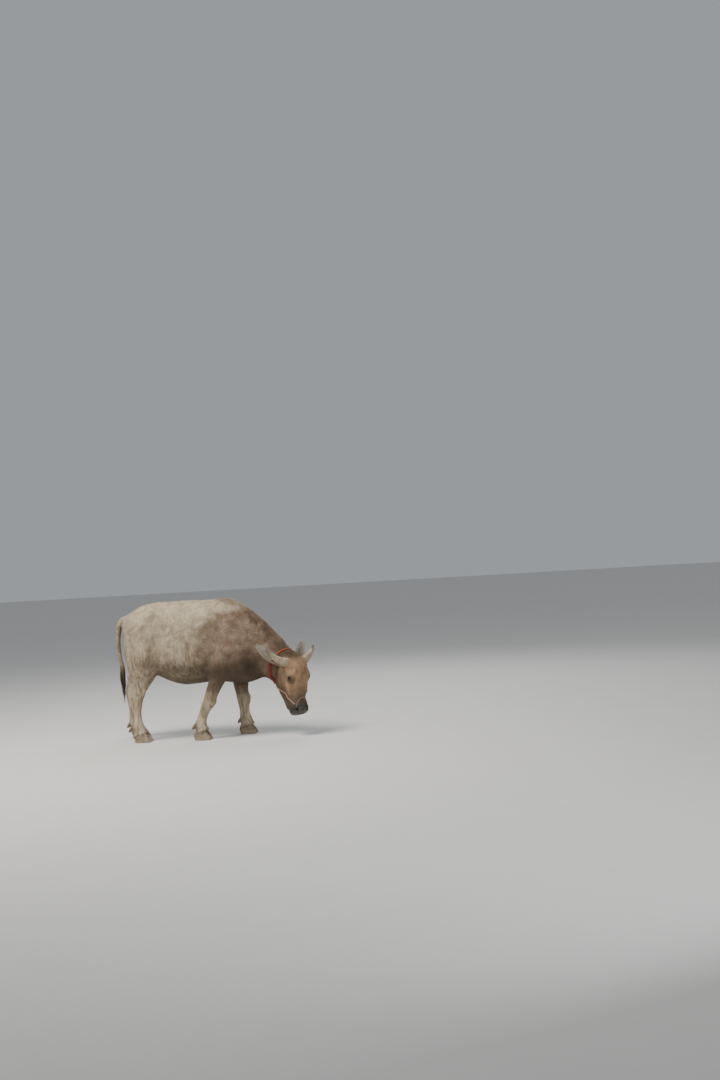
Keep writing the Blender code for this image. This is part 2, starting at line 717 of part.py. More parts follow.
def ear(side, head, neck):
    """A leaf-shaped ear, rolled at its root and cupped to its tip, open to the front."""
    way = Vector((EAR_WAY.x, side * EAR_WAY.y, EAR_WAY.z)).normalized()
    opens = Vector((EAR_OPENS.x, side * EAR_OPENS.y, EAR_OPENS.z))
    opens = (opens - way * opens.dot(way)).normalized()
    across = way.cross(opens)
    root = Vector((EAR_ROOT.x, side * EAR_ROOT.y, EAR_ROOT.z))
    length = EAR_LENGTH + EAR_SUNK
    columns = 8
    bm = bmesh.new()
    rows = []
    for share, half, cup in EAR_SHAPE:
        cup = math.radians(cup)
        radius = half / (math.sin(cup) if cup < math.pi / 2 else 1)
        droop = opens * (-0.020 * math.sin(math.pi * share)) + Vector((0.012, 0, 0)) * share**2
        centre = root + way * (length * share) + droop
        row = []
        for k in range(columns + 1):
            turn = cup * (2 * k / columns - 1)
            lift = opens * (radius * (1 - math.cos(turn)) * 0.9)
            row.append(bm.verts.new(HEAD @ (centre + across * (radius * math.sin(turn)) + lift)))
        rows.append(row)
    for low, high in zip(rows, rows[1:]):
        for k in range(columns):
            bm.faces.new((low[k], low[k + 1], high[k + 1], high[k]))
    sheet = object_from("ear_sheet", bm)
    shell = sheet.modifiers.new("shell", "SOLIDIFY")
    shell.thickness, shell.offset, shell.use_even_offset = EAR_THICKNESS, 0, True
    made = evaluated_copy(sheet, "ear_" + ("left" if side > 0 else "right"), BUFFALO, EAR)
    remove(sheet)
    return cut_clear(cut_clear(made, head), neck)


def ball(name, centre, radii, axes=Matrix.Identity(3), where=HELPERS, finish=None, detail=20):
    bm = bmesh.new()
    bmesh.ops.create_uvsphere(bm, u_segments=detail, v_segments=detail // 2 + 2, radius=1.0)
    bmesh.ops.scale(bm, vec=radii, verts=bm.verts)
    bm.transform(Matrix.Translation(centre) @ axes.to_4x4())
    return object_from(name, bm, where, finish)


EYE_PLACE = Vector((0.172, 0.0868, 0.046))
EYE_LOOKS = Vector((0.10, 0.88, 0.46))
LID_THICKNESS = 0.0038
EYE_SLIT = (0.0165, 0.0068, 0.016)  # half length, half height, depth


def eye_axes(side):
    """An eye's axes: +X along its slit towards the nose, +Z the way it looks."""
    looks = Vector((EYE_LOOKS.x, side * EYE_LOOKS.y, EYE_LOOKS.z)).normalized()
    slit = Vector((0.92, 0, 0.38))
    slit = (slit - looks * slit.dot(looks)).normalized()
    axes = Matrix((slit, looks.cross(slit), looks)).transposed()
    return HEAD_AXES @ axes


def eye(side, head):
    """The eyeball, and in the head its socket and two lids that leave a narrow slit."""
    name = "eye_" + ("left" if side > 0 else "right")
    centre = on_head(EYE_PLACE.x, side * EYE_PLACE.y, EYE_PLACE.z)
    axes = eye_axes(side)
    lid_radius = EYE_RADIUS + LID_THICKNESS
    lids = ball("lids", centre, (lid_radius * 1.12, lid_radius, lid_radius), axes, detail=14)
    boolean(head, lids, "UNION")
    slit = ball("slit", centre + axes @ Vector((0, 0, EYE_RADIUS)), EYE_SLIT, axes, detail=10)
    boolean(head, slit, "DIFFERENCE")
    socket = ball("socket", centre, (EYE_RADIUS + GAP,) * 3, axes, detail=12)
    boolean(head, socket, "DIFFERENCE")
    remove(lids, slit, socket)
    return ball(name, centre, (EYE_RADIUS - GAP,) * 3, axes, BUFFALO, EYE, 12)


MOUTH_CORNER = 0.335  # along the head
MOUTH_RUN = 0.100
MOUTH_OUT = -0.030
MOUTH_SLIT = 0.0045
NOSTRIL_PLACE = (0.402, 0.045, 0.036)
NOSTRIL_RADII = (0.021, 0.0095, 0.014)
NOSTRIL_TURN = (math.radians(26), math.radians(30), math.radians(24))


def carve_mouth(head):
    """The line of the mouth, from corner to corner round the muzzle, and the nostrils."""
    bm = bmesh.new()
    rows = []
    for angle in np.linspace(-math.pi / 2, math.pi / 2, 11):
        for reach in (0.88, 1.5):
            along = MOUTH_CORNER + MOUTH_RUN * math.cos(angle) * reach
            left = 0.066 * math.sin(angle) * reach
            out = MOUTH_OUT - 0.012 * math.cos(angle)
            rows.append(bm.verts.new(on_head(along, left, out)))
    for i in range(0, len(rows) - 2, 2):
        bm.faces.new((rows[i], rows[i + 1], rows[i + 3], rows[i + 2]))
    sheet = object_from("mouth_sheet", bm)
    shell = sheet.modifiers.new("shell", "SOLIDIFY")
    shell.thickness, shell.offset = MOUTH_SLIT, 0
    cutter = evaluated_copy(sheet, "mouth_slit")
    boolean(head, cutter, "DIFFERENCE")
    remove(sheet, cutter)
    for side in (-1, 1):
        roll, pitch, yaw = NOSTRIL_TURN
        tilt = HEAD_AXES @ Euler((-side * roll, pitch, -side * yaw)).to_matrix()
        along, left, out = NOSTRIL_PLACE
        nostril = ball("nostril", on_head(along, side * left, out), NOSTRIL_RADII, tilt, detail=10)
        boolean(head, nostril, "DIFFERENCE")
        remove(nostril)


TAIL_PATH = (
    (-0.085, 0, 0.955), (-0.135, 0, 0.950), (-0.172, 0, 0.920), (-0.194, 0, 0.865),
    (-0.203, 0, 0.800), (-0.203, 0, 0.730), (-0.196, 0, 0.660), (-0.186, 0, 0.595),
)
TAIL_RADII = (0.032, 0.031, 0.027, 0.024, 0.0215, 0.0195, 0.0175, 0.0150)


def tail(body):
    """The fleshy tail, out of the rump and down behind the thighs."""
    path = catmull_rom([(*p, r) for p, r in zip(TAIL_PATH, TAIL_RADII)], 2)
    frames = tube_frames([Vector(row[:3]) for row in path])
    rings = [superellipse(c, a, u, row[3], row[3], row[3], 2.0, 12) for (c, a, u), row in zip(frames, path)]
    return cut_clear(loft("tail", rings, BUFFALO, HIDE), body)


SWITCH_LOCKS = 12
SWITCH_LENGTHS = (0.20, 0.26, 0.30)
# forward, down, radius
SWITCH_CORE = ((0, 0, 0.0150), (0.006, 0.05, 0.0170), (0.010, 0.11, 0.0110), (0.008, 0.15, 0.0040))


def lock(name, path, widths, thicknesses, facing_out, sides=6):
    """One flat tapered lock of hair along a path."""
    frames = []
    for i, place in enumerate(path):
        ahead = (path[min(i + 1, len(path) - 1)] - path[max(i - 1, 0)]).normalized()
        out = (facing_out - ahead * facing_out.dot(ahead)).normalized()
        frames.append((place, ahead.cross(out), out))
    rings = []
    for (centre, across, out), width, thickness in zip(frames, widths, thicknesses):
        rings.append(superellipse(centre, across, out, width, thickness, thickness, 2.0, sides))
    return loft(name, rings)


def tail_switch():
    """The tuft at the tail's end: a slim core that ends half way, and locks that overlap round it."""
    draw = np.random.default_rng(7)
    top = Vector(TAIL_PATH[-1]) - Vector((-0.001, 0, GAP + 0.0006))
    pieces = []
    core = [top + Vector((back, 0, -drop)) for back, drop, _ in SWITCH_CORE]
    radii = [radius for _, _, radius in SWITCH_CORE]
    pieces.append(lock("core", core, radii, radii, Vector((-1, 0, 0)), 12))
    for i in range(SWITCH_LOCKS):
        round_at = 2 * math.pi * i / SWITCH_LOCKS
        out = Vector((math.cos(round_at), math.sin(round_at), 0))
        length = SWITCH_LENGTHS[i % len(SWITCH_LENGTHS)] * draw.uniform(0.9, 1.05)
        start = top + out * 0.008 + Vector((0, 0, -0.016 - 0.020 * (i % 2)))
        path, widths, thicknesses = [], [], []
        for k in range(5):
            share = k / 4
            bulge = out * (0.012 * math.sin(math.pi * min(share * 1.3, 1)))
            sway = Vector((0.012 * share - 0.010 * share**2, 0.004 * math.sin(3 * share + i), 0))
            path.append(start + bulge + sway + Vector((0, 0, -length * share)) - out * 0.004 * share)
            widths.append(0.0085 * (1 - share) ** 0.6 + 0.0012)
            thicknesses.append(0.0040 * (1 - share) ** 0.6 + 0.0008)
        pieces.append(lock(f"lock_{i}", path, widths, thicknesses, out))
    made = pieces[0]
    made.name = "tail_switch"
    HELPERS.objects.unlink(made)
    BUFFALO.objects.link(made)
    made.data.materials.append(TAIL_HAIR)
    join = bpy.data.collections.new("switch_locks")
    for piece in pieces[1:]:
        join.objects.link(piece)
    cut = made.modifiers.new("join", "BOOLEAN")
    cut.operation, cut.solver, cut.operand_type, cut.collection = "UNION", "MANIFOLD", "COLLECTION", join
    bpy.context.view_layer.update()
    mesh = bpy.data.meshes.new_from_object(made.evaluated_get(bpy.context.evaluated_depsgraph_get()))
    made.modifiers.clear()
    made.data = mesh
    remove(*pieces[1:])
    bpy.data.collections.remove(join)
    keep_largest(made)
    return made


# The halter's way on the head's right side, in the head's axes, from the nostril to the nape
HALTER_WAY = (
    (0.368, 0.070, 0.030),
    (0.335, 0.082, -0.002),
    (0.290, 0.088, -0.045),
    (0.240, 0.098, -0.092),
    (0.180, 0.108, -0.128),
    (0.120, 0.115, -0.138),
    (0.060, 0.115, -0.124),
    (0.010, 0.105, -0.098),
    (-0.030, 0.075, -0.070),
    (-0.045, 0.035, -0.040),
    (-0.050, 0.000, -0.030),
)
NOSE_CORD_WAY = (
    (0.376, 0.064, 0.042),
    (0.358, 0.060, 0.052),
    (0.338, 0.042, 0.070),
    (0.330, 0.000, 0.080),
)
NOSE_CORD_RADIUS = 0.0022
YARN_RADIUS = 0.0095
BEAD_RADIUS = 0.0075


def draped(points, surface, clear, eases=3):
    """A path laid on the flesh: each point stands clear of its nearest place, and kinks are eased."""
    laid = list(points)
    for turn in range(eases + 1):
        if turn:
            inner = [(a + b + c) / 3 for a, b, c in zip(laid, laid[1:], laid[2:])]
            laid = [laid[0], *inner, laid[-1]]
        moved = []
        for point in laid:
            place, normal, _, _ = surface.find_nearest(point)
            moved.append(place + normal * clear)
        laid = moved
    return laid


def both_sides(way):
    """The way on the right, then mirrored down the left, in world space."""
    right = [on_head(x, -y, z) for x, y, z in way]
    left = [on_head(x, y, z) for x, y, z in way[:-1]]
    return right + left[::-1]


def even_path(points, spacing):
    """The path smoothed and with its points evenly spaced."""
    dense = catmull_rom([tuple(p) for p in points], 12)
    runs = np.concatenate([[0], np.cumsum(np.linalg.norm(np.diff(dense, axis=0), axis=1))])
    marks = np.linspace(0, runs[-1], max(int(runs[-1] / spacing), 4) + 1)
    return [Vector(row) for row in np.stack([np.interp(marks, runs, dense[:, i]) for i in range(3)], 1)]


def cord(name, path, radii, finish, sides=6):
    rings = [superellipse(c, a, u, r, r, r, 2.0, sides) for (c, a, u), r in zip(tube_frames(path), radii)]
    return loft(name, rings, BUFFALO, finish)


def halter(flesh_parts):
    """The rope from nostril to nostril round the nape, with yarn wrapped round it and beads."""
    bm = bmesh.new()
    for part in flesh_parts:
        bm.from_mesh(part.data)
    surface = BVHTree.FromBMesh(bm)
    bm.free()
    middle = draped(even_path(both_sides(HALTER_WAY), 0.016), surface, ROPE_RADIUS, 8)
    count = len(middle)
    # share of the way from the right nostril at which each length ends, its name, finish and radius
    lengths = (
        (0.185, "halter_rope_right", ROPE, ROPE_RADIUS),
        (0.205, "bead_right", BEAD, BEAD_RADIUS),
        (0.385, "halter_yarn_right", YARN, YARN_RADIUS),
        (0.615, "halter_nape", YARN, ROPE_RADIUS * 1.5),
        (0.795, "halter_yarn_left", YARN, YARN_RADIUS),
        (0.815, "bead_left", BEAD, BEAD_RADIUS),
        (1.000, "halter_rope_left", ROPE, ROPE_RADIUS),
    )
    made = []
    start = 0.0
    for end, name, finish, radius in lengths:
        first, last = start * (count - 1), end * (count - 1)
        steps = max(int(last - first) + 1, 4)
        marks = np.linspace(first, last, steps + 1)
        rough = [middle[int(m)].lerp(middle[min(int(m) + 1, count - 1)], m - int(m)) for m in marks]
        path = draped(rough, surface, radius + GAP)
        ahead = (path[1] - path[0]).normalized()
        path[0] = path[0] + ahead * GAP / 2
        back = (path[-2] - path[-1]).normalized()
        path[-1] = path[-1] + back * GAP / 2
        radii = [radius] * len(path)
        if finish is YARN and radius == YARN_RADIUS:
            radii = [radius * (0.72 + 0.28 * abs(math.sin(i * 1.45 + 0.9))) for i in range(len(path))]
        if finish is BEAD:
            radii = [radius * math.sin(math.pi * (0.15 + 0.7 * i / steps)) for i in range(len(path))]
        made.append(cord(name, path, radii, finish))
        start = end
    rough = even_path(both_sides(NOSE_CORD_WAY), 0.016)
    path = draped(rough, surface, NOSE_CORD_RADIUS + GAP)
    made.append(cord("nose_cord", path, [NOSE_CORD_RADIUS] * len(path), ROPE, 6))
    for piece in made:
        for part in flesh_parts:
            cut_clear(piece, part)
    for piece, follower in zip(made, made[1:-1]):
        cut_clear(follower, piece)
    cut_clear(made[-1], made[0])
    cut_clear(made[-1], made[-2])
    return made


def centre_on_floor():
    """Sizes everything by the withers and puts the middle of its bounding box's floor on the origin."""
    size = Matrix.Scale(WITHERS_HEIGHT / DRAWN_WITHERS, 4)
    meshes = [obj for obj in BUFFALO.objects if obj.type == "MESH"]
    for obj in meshes:
        obj.data.transform(size)
    places = np.vstack([vertex_array(obj.data, "co") for obj in meshes])
    low, high = places.min(0), places.max(0)
    shift = Vector((-(low[0] + high[0]) / 2, -(low[1] + high[1]) / 2, -low[2]))
    for obj in meshes:
        obj.data.transform(Matrix.Translation(shift))
    drawn_origin = bpy.data.objects.new("row_frame", None)
    drawn_origin.location = shift
    HELPERS.objects.link(drawn_origin)


def build():
    body = flesh()
    head = part_head(body)
    neck = part_neck(body)
    legs = {name: part_leg(body, name) for name in LEGS}
    for name, made in legs.items():
        trim_foot(made, name)
        side = LEGS[name][1]
        for way, label in ((side, "outer"), (-side, "inner")):
            claw(label, name, way)
            dewclaw(label, name, way, made)
    for side in (-1, 1):
        horn(side, head)
        ear(side, head, neck)
    halter([head, neck])
    for side in (-1, 1):
        eye(side, head)
    carve_mouth(head)
    tail(body)
    tail_switch()
    for obj in BUFFALO.objects:
        if obj.type == "MESH":
            obj.data.shade_smooth()
            obj.data.set_sharp_from_angle(angle=math.radians(40))
    centre_on_floor()


build()
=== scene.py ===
"""The looks of the young swamp buffalo: hide, coat, horns, hooves, tail and halter.

Metres, +Z up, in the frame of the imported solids. The animal faces +X and its left side is +Y.
"""

import math

import bmesh
import bpy
import numpy as np
from mathutils import Euler, Matrix, Vector
from mathutils.bvhtree import BVHTree


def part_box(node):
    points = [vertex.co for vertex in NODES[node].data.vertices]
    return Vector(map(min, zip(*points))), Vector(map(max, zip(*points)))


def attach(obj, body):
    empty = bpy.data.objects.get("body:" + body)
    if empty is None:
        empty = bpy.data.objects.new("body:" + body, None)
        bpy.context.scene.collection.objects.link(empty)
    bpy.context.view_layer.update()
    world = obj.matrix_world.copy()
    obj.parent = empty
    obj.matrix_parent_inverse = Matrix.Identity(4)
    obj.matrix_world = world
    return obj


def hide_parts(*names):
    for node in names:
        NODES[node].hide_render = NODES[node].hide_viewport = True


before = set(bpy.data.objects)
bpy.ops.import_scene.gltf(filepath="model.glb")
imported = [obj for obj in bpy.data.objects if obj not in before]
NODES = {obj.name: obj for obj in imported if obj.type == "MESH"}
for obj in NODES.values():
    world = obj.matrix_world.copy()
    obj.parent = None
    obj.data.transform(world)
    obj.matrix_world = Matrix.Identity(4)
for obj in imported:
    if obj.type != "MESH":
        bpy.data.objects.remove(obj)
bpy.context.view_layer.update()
DRAW = np.random.default_rng(11)
SIDES = ((-1, "right"), (1, "left"))

# The head's own axes in the drawing: +X from poll to nose, +Y to its left, +Z out of the forehead
POLL = Vector((1.198, -0.120, 0.611))
HEAD_TURN = (math.radians(-2), math.radians(82), math.radians(-40))
EYE_PLACE = Vector((0.172, 0.0868, 0.046))
EYE_RADIUS = 0.0185


def middle(node):
    """The middle of a solid's box."""
    low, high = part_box(node)
    return (low + high) / 2


HEAD_DRAWN = Matrix.Translation(POLL) @ Euler(HEAD_TURN, "XYZ").to_matrix().to_4x4()
EYE_RIGHT = HEAD_DRAWN @ Vector((EYE_PLACE.x, -EYE_PLACE.y, EYE_PLACE.z))
SHIFT = middle("eye_right") - EYE_RIGHT
HEAD = Matrix.Translation(SHIFT) @ HEAD_DRAWN
HEAD_AXES = HEAD.to_3x3()
HEAD_BACK = HEAD.inverted()


def on_head(along, left, out):
    return HEAD @ Vector((along, left, out))


def drawn(x, y, z):
    """A point given in the drawing's frame, whose origin is under the rump."""
    return SHIFT + Vector((x, y, z))


# Mesh helpers


def link(name, data):
    made = bpy.data.objects.new(name, data)
    bpy.context.scene.collection.objects.link(made)
    return made


def from_bmesh(name, bm):
    bm.normal_update()
    bmesh.ops.recalc_face_normals(bm, faces=bm.faces[:])
    mesh = bpy.data.meshes.new(name)
    bm.to_mesh(mesh)
    bm.free()
    return link(name, mesh)


def applied(obj):
    """Applies the object's modifiers."""
    bpy.context.view_layer.update()
    graph = bpy.context.evaluated_depsgraph_get()
    mesh = bpy.data.meshes.new_from_object(obj.evaluated_get(graph))
    obj.modifiers.clear()
    obj.vertex_groups.clear()
    obj.data = mesh
    return obj


def drop(*objects):
    for obj in objects:
        bpy.data.objects.remove(obj)


def vertex_values(mesh, key):
    values = np.empty(len(mesh.vertices) * 3, np.float32)
    mesh.vertices.foreach_get(key, values)
    return values.reshape(-1, 3).astype(float)


def places(mesh):
    return vertex_values(mesh, "co")


def normals(mesh):
    return vertex_values(mesh, "normal")


def put(mesh, points):
    mesh.vertices.foreach_set("co", points.astype(np.float32).ravel())
    mesh.update()


def mesh_from_arrays(name, points, corners, starts):
    """A mesh from its points, its faces' corner numbers and where each face's corners start."""
    mesh = bpy.data.meshes.new(name)
    mesh.vertices.add(len(points))
    mesh.vertices.foreach_set("co", points.astype(np.float32).ravel())
    mesh.loops.add(corners.size)
    mesh.loops.foreach_set("vertex_index", corners.astype(np.int32).ravel())
    mesh.polygons.add(len(starts))
    mesh.polygons.foreach_set("loop_start", starts.astype(np.int32))
    mesh.update(calc_edges=True)
    return mesh


def ramp(values, start, end):
    """0 before start and 1 beyond end, with a soft change between."""
    share = np.clip((values - start) / (end - start), 0, 1)
    return share * share * (3 - 2 * share)


def catmull_rom(rows, steps):
    """Smooth rows of numbers: each span between two rows is cut into steps."""
    rows = np.array(rows, float)
    padded = np.vstack([2 * rows[0] - rows[1], rows, 2 * rows[-1] - rows[-2]])
    made = []
    for i in range(len(rows) - 1):
        a, b, c, d = padded[i : i + 4]
        for t in np.linspace(0, 1, steps, endpoint=False):
            bend = (2 * a - 5 * b + 4 * c - d) * t**2 + (3 * b - a - 3 * c + d) * t**3
            made.append(0.5 * (2 * b + (c - a) * t + bend))
    made.append(rows[-1])
    return np.array(made)


def away_from(points, path):
    """Each point's distance to a path."""
    path = np.array([tuple(p) for p in path], float)
    if len(path) == 1:
        return np.linalg.norm(points - path[0], axis=1)
    away = np.full(len(points), 1e9)
    for a, b in zip(path, path[1:]):
        run = b - a
        share = np.clip((points - a) @ run / (run @ run), 0, 1)
        away = np.minimum(away, np.linalg.norm(points - (a + share[:, None] * run), axis=1))
    return away


def near_path(points, path, reach):
    """The numbers of the points inside a box round a path."""
    corners = [tuple(p) for p in path]
    low = np.min(corners, axis=0) - reach
    high = np.max(corners, axis=0) + reach
    return np.all((points > low) & (points < high), axis=1).nonzero()[0]


def swell(points, facing, path, radius, height):
    """Raises points along their normals, or sinks them, near a path."""
    near = near_path(points, path, radius)
    if len(near):
        share = np.clip(1 - away_from(points[near], path) / radius, 0, 1)
        points[near] += facing[near] * (height * share * share * (3 - 2 * share))[:, None]


FOLD_REACH = 4
ROLL_HEIGHT = 0.55
ROLL_AWAY = 2.0
ROLL_WIDTH = 0.9


def crease(points, facing, path, width, depth):
    """A fold of the hide: a narrow groove between two low rolls."""
    near = near_path(points, path, width * FOLD_REACH)
    if len(near):
        away = away_from(points[near], path) / width
        roll = ROLL_HEIGHT * np.exp(-((away - ROLL_AWAY) ** 2) / ROLL_WIDTH)
        points[near] += facing[near] * ((roll - np.exp(-away * away)) * depth)[:, None]


# Smooth noise on points, for shapes and for the coat


class Noise:
    """Seeded value noise in space, smooth between the corners of a lattice."""

    size = 64

    def __init__(self, seed):
        drawn_values = np.random.default_rng(seed).uniform(-1, 1, (self.size,) * 3)
        self.table = drawn_values.astype(np.float32)

    def __call__(self, points, scale):
        at = points / scale
        whole = np.floor(at).astype(int)
        part = at - whole
        part = part * part * (3 - 2 * part)
        total = np.zeros(len(points))
        for corner in np.ndindex(2, 2, 2):
            index = (whole + corner) % self.size
            weight = np.prod(np.where(corner, part, 1 - part), axis=1)
            total += weight * self.table[index[:, 0], index[:, 1], index[:, 2]]
        return total


NOISE = Noise(5)

# The skin

LEGS = ("leg_fore_right", "leg_fore_left", "leg_hind_right", "leg_hind_left")
FLESH = ("torso", "neck", "head", "tail", *LEGS)
NODE_GAP = 0.0003
ROUGH_VOXEL = 0.0098
COAT_DEPTH = 0.0012
# The x of each leg's upper end and of its fetlock, in the drawing
LEG_X = {
    "fore_right": (0.636, 0.458),
    "fore_left": (0.722, 0.752),
    "hind_right": (0.026, -0.040),
    "hind_left": (0.012, -0.142),
}
LEG_Y = 0.143


def side_of(name):
    return 1 if name.endswith("left") else -1


def ball(bm, centre, radii, axes=Matrix.Identity(3)):
    made = bmesh.ops.create_uvsphere(bm, u_segments=24, v_segments=14, radius=1.0)
    bmesh.ops.scale(bm, vec=radii, verts=made["verts"])
    bmesh.ops.transform(bm, matrix=Matrix.Translation(centre) @ axes.to_4x4(), verts=made["verts"])


def head_points(points):
    """Points in the head's own axes."""
    back = np.array(HEAD_BACK)
    return points @ back[:3, :3].T + back[:3, 3]


def face_share(points):
    """1 on the face, 0 behind the ears."""
    local = head_points(points)
    return ramp(local[:, 0], -0.02, 0.06) * ramp(local[:, 2], -0.21, -0.15)


def rough_skin():
    """All the flesh as one closed surface, with the solids' small hollows filled and facets eased."""
    bm = bmesh.new()
    for name in FLESH:
        mesh = NODES[name].data.copy()
        bm_node = bmesh.new()
        bm_node.from_mesh(mesh)
        bmesh.ops.remove_doubles(bm_node, verts=bm_node.verts, dist=1e-6)
        bm_node.normal_update()
        for vert in bm_node.verts:
            vert.co += vert.normal * NODE_GAP
        bm_node.to_mesh(mesh)
        bm_node.free()
        bm.from_mesh(mesh)
        bpy.data.meshes.remove(mesh)
    for side in (-1, 1):
        ball(bm, on_head(EYE_PLACE.x, side * EYE_PLACE.y, EYE_PLACE.z), (EYE_RADIUS + 0.003,) * 3)
        ball(bm, on_head(0.398, side * 0.034, 0.024), (0.030, 0.022, 0.024), HEAD_AXES)
    ball(bm, on_head(0.385, 0, -0.014), (0.068, 0.062, 0.062), HEAD_AXES)
    skin = from_bmesh("skin", bm)
    skin.modifiers.new("whole", "REMESH").voxel_size = ROUGH_VOXEL
    applied(skin)
    return skin


def ease(obj, rule, rounds):
    """Smooths the object where rule(points) is over 0."""
    group = obj.vertex_groups.new(name="ease")
    weights = rule(places(obj.data))
    for level in range(1, 11):
        chosen = np.nonzero((weights > (level - 1) / 10) & (weights <= level / 10))[0]
        if len(chosen):
            group.add(chosen.tolist(), level / 10, "REPLACE")
    smooth = obj.modifiers.new("ease", "SMOOTH")
    smooth.factor = 0.5
    smooth.iterations = rounds
    smooth.vertex_group = "ease"
    applied(obj)


def trunk_share(points):
    """1 on trunk and neck, less on the lower legs and none on the face and the tail."""
    legs = ramp(points[:, 2], 0.36, 0.50)
    tail = ramp(-points[:, 0], 0.700, 0.725)
    return np.maximum(legs, 0.12) * (1 - face_share(points)) * (1 - tail)


# Strokes in the drawing's frame for the left side: path, radius, height
BODY_FORMS = (
    (((0.130, 0.140, 1.010), (0.105, 0.180, 0.965)), 0.058, 0.014),
    (((0.095, 0.180, 0.960), (0.040, 0.200, 0.880), (-0.010, 0.195, 0.800)), 0.065, 0.009),
    (((-0.115, 0.085, 0.900),), 0.050, 0.013),
    (((0.060, 0.110, 1.000), (-0.050, 0.080, 0.960)), 0.050, -0.006),
    (((0.195, 0.195, 0.965), (0.215, 0.225, 0.880), (0.225, 0.235, 0.820)), 0.060, -0.011),
    (
        ((0.170, 0.220, 0.800), (0.130, 0.225, 0.700), (0.105, 0.215, 0.600), (0.120, 0.190, 0.520)),
        0.045,
        -0.013,
    ),
    (((0.030, 0.225, 0.740), (0.055, 0.215, 0.620), (0.070, 0.205, 0.560)), 0.075, 0.013),
    (((-0.055, 0.195, 0.780), (-0.060, 0.200, 0.640), (-0.075, 0.180, 0.540)), 0.034, -0.009),
    (((-0.110, 0.150, 0.760), (-0.115, 0.150, 0.640)), 0.050, 0.007),
    (
        ((0.655, 0.100, 1.030), (0.700, 0.170, 0.900), (0.755, 0.200, 0.780), (0.805, 0.190, 0.670)),
        0.044,
        0.014,
    ),
    (((0.600, 0.150, 1.000), (0.630, 0.215, 0.880), (0.670, 0.230, 0.760)), 0.046, -0.010),
    (((0.720, 0.110, 1.000), (0.770, 0.160, 0.880), (0.830, 0.175, 0.770)), 0.036, -0.008),
    (((0.815, 0.165, 0.640), (0.790, 0.185, 0.600)), 0.060, 0.015),
    (((0.720, 0.215, 0.680), (0.650, 0.222, 0.610), (0.620, 0.215, 0.560)), 0.060, 0.014),
    (((0.580, 0.205, 0.640), (0.545, 0.215, 0.540)), 0.042, -0.012),
    (((0.700, 0.190, 0.560), (0.730, 0.190, 0.520)), 0.035, -0.008),
    (((0.790, 0.165, 0.900), (0.880, 0.120, 0.800), (0.970, 0.060, 0.690)), 0.045, 0.010),
    (((0.860, 0.165, 0.740), (0.930, 0.120, 0.640), (0.985, 0.080, 0.560)), 0.036, -0.009),
    (((0.330, 0.240, 0.600), (0.440, 0.245, 0.570), (0.530, 0.225, 0.590)), 0.070, 0.007),
    (((0.225, 0.050, 0.505), (0.290, 0.070, 0.480)), 0.095, 0.011),
    (((0.700, 0.010, 1.040), (0.760, 0.020, 1.010)), 0.060, 0.007),
)
RIBS = 8
RIB_START = 0.255
RIB_SPACING = 0.042
RIB_RADIUS = 0.021
RIB_HEIGHT = 0.0038
# A rib's points in the drawing: x from its place, y, z
RIB_LINE = ((0.030, 0.19, 0.93), (0, 0.25, 0.78), (-0.020, 0.24, 0.62))
# Folds of the neck and the breast: path in the drawing, width, depth
NECK_FOLDS = (
    (((0.955, -0.150, 0.660), (0.972, -0.160, 0.560), (0.985, -0.110, 0.470)), 0.0080, 0.0070),
    (((0.915, -0.165, 0.640), (0.928, -0.165, 0.530), (0.940, -0.110, 0.450)), 0.0090, 0.0065),
    (((0.878, -0.190, 0.720), (0.872, -0.200, 0.600), (0.885, -0.170, 0.490)), 0.0100, 0.0060),
    (((0.990, -0.110, 0.760), (1.010, -0.160, 0.700), (1.015, -0.190, 0.640)), 0.0080, 0.0050),
    (((1.035, 0.050, 0.640), (1.035, 0.020, 0.540), (1.020, -0.040, 0.460)), 0.0080, 0.0065),
    (((0.985, 0.090, 0.660), (0.985, 0.070, 0.550), (0.985, 0.010, 0.455)), 0.0090, 0.0060),
    (((0.930, 0.120, 0.660), (0.935, 0.110, 0.540), (0.950, 0.050, 0.450)), 0.0100, 0.0055),
)
# Folds behind the elbows and before the stifles, on both sides
LEG_FOLDS = (
    (((0.600, 0.215, 0.560), (0.590, 0.200, 0.510), (0.600, 0.170, 0.470)), 0.0080, 0.0050),
    (((0.575, 0.215, 0.570), (0.562, 0.200, 0.520), (0.565, 0.170, 0.480)), 0.0080, 0.0040),
    (((0.135, 0.215, 0.620), (0.155, 0.200, 0.560), (0.165, 0.170, 0.520)), 0.0090, 0.0050),
)
NECK_LINES = 0.0022
BODY_UNEVEN = 0.0016


def model_trunk(points, facing):
    """Muscles, bones, ribs and folds of trunk and neck."""
    for side in (-1, 1):
        for path, radius, height in BODY_FORMS:
            swell(points, facing, [drawn(x, side * y, z) for x, y, z in path], radius, height)
        for rib in range(RIBS):
            start = RIB_START + rib * RIB_SPACING
            path = [drawn(start + x, side * y, z) for x, y, z in RIB_LINE]
            swell(points, facing, path, RIB_RADIUS, RIB_HEIGHT)
    for path, width, depth in NECK_FOLDS:
        crease(points, facing, [drawn(*p) for p in path], width, depth)
    for path, width, depth in LEG_FOLDS:
        for side in (-1, 1):
            crease(points, facing, [drawn(x, side * y, z) for x, y, z in path], width, depth)
    wrinkled = ramp(points[:, 0] - SHIFT.x, 0.78, 0.90) * ramp(points[:, 2], 0.40, 0.50)
    lines = NOISE(points * (1.0, 1.0, 0.35), 0.020) * wrinkled * (1 - face_share(points))
    points += facing * (NECK_LINES * lines + BODY_UNEVEN * NOISE(points, 0.055))[:, None]


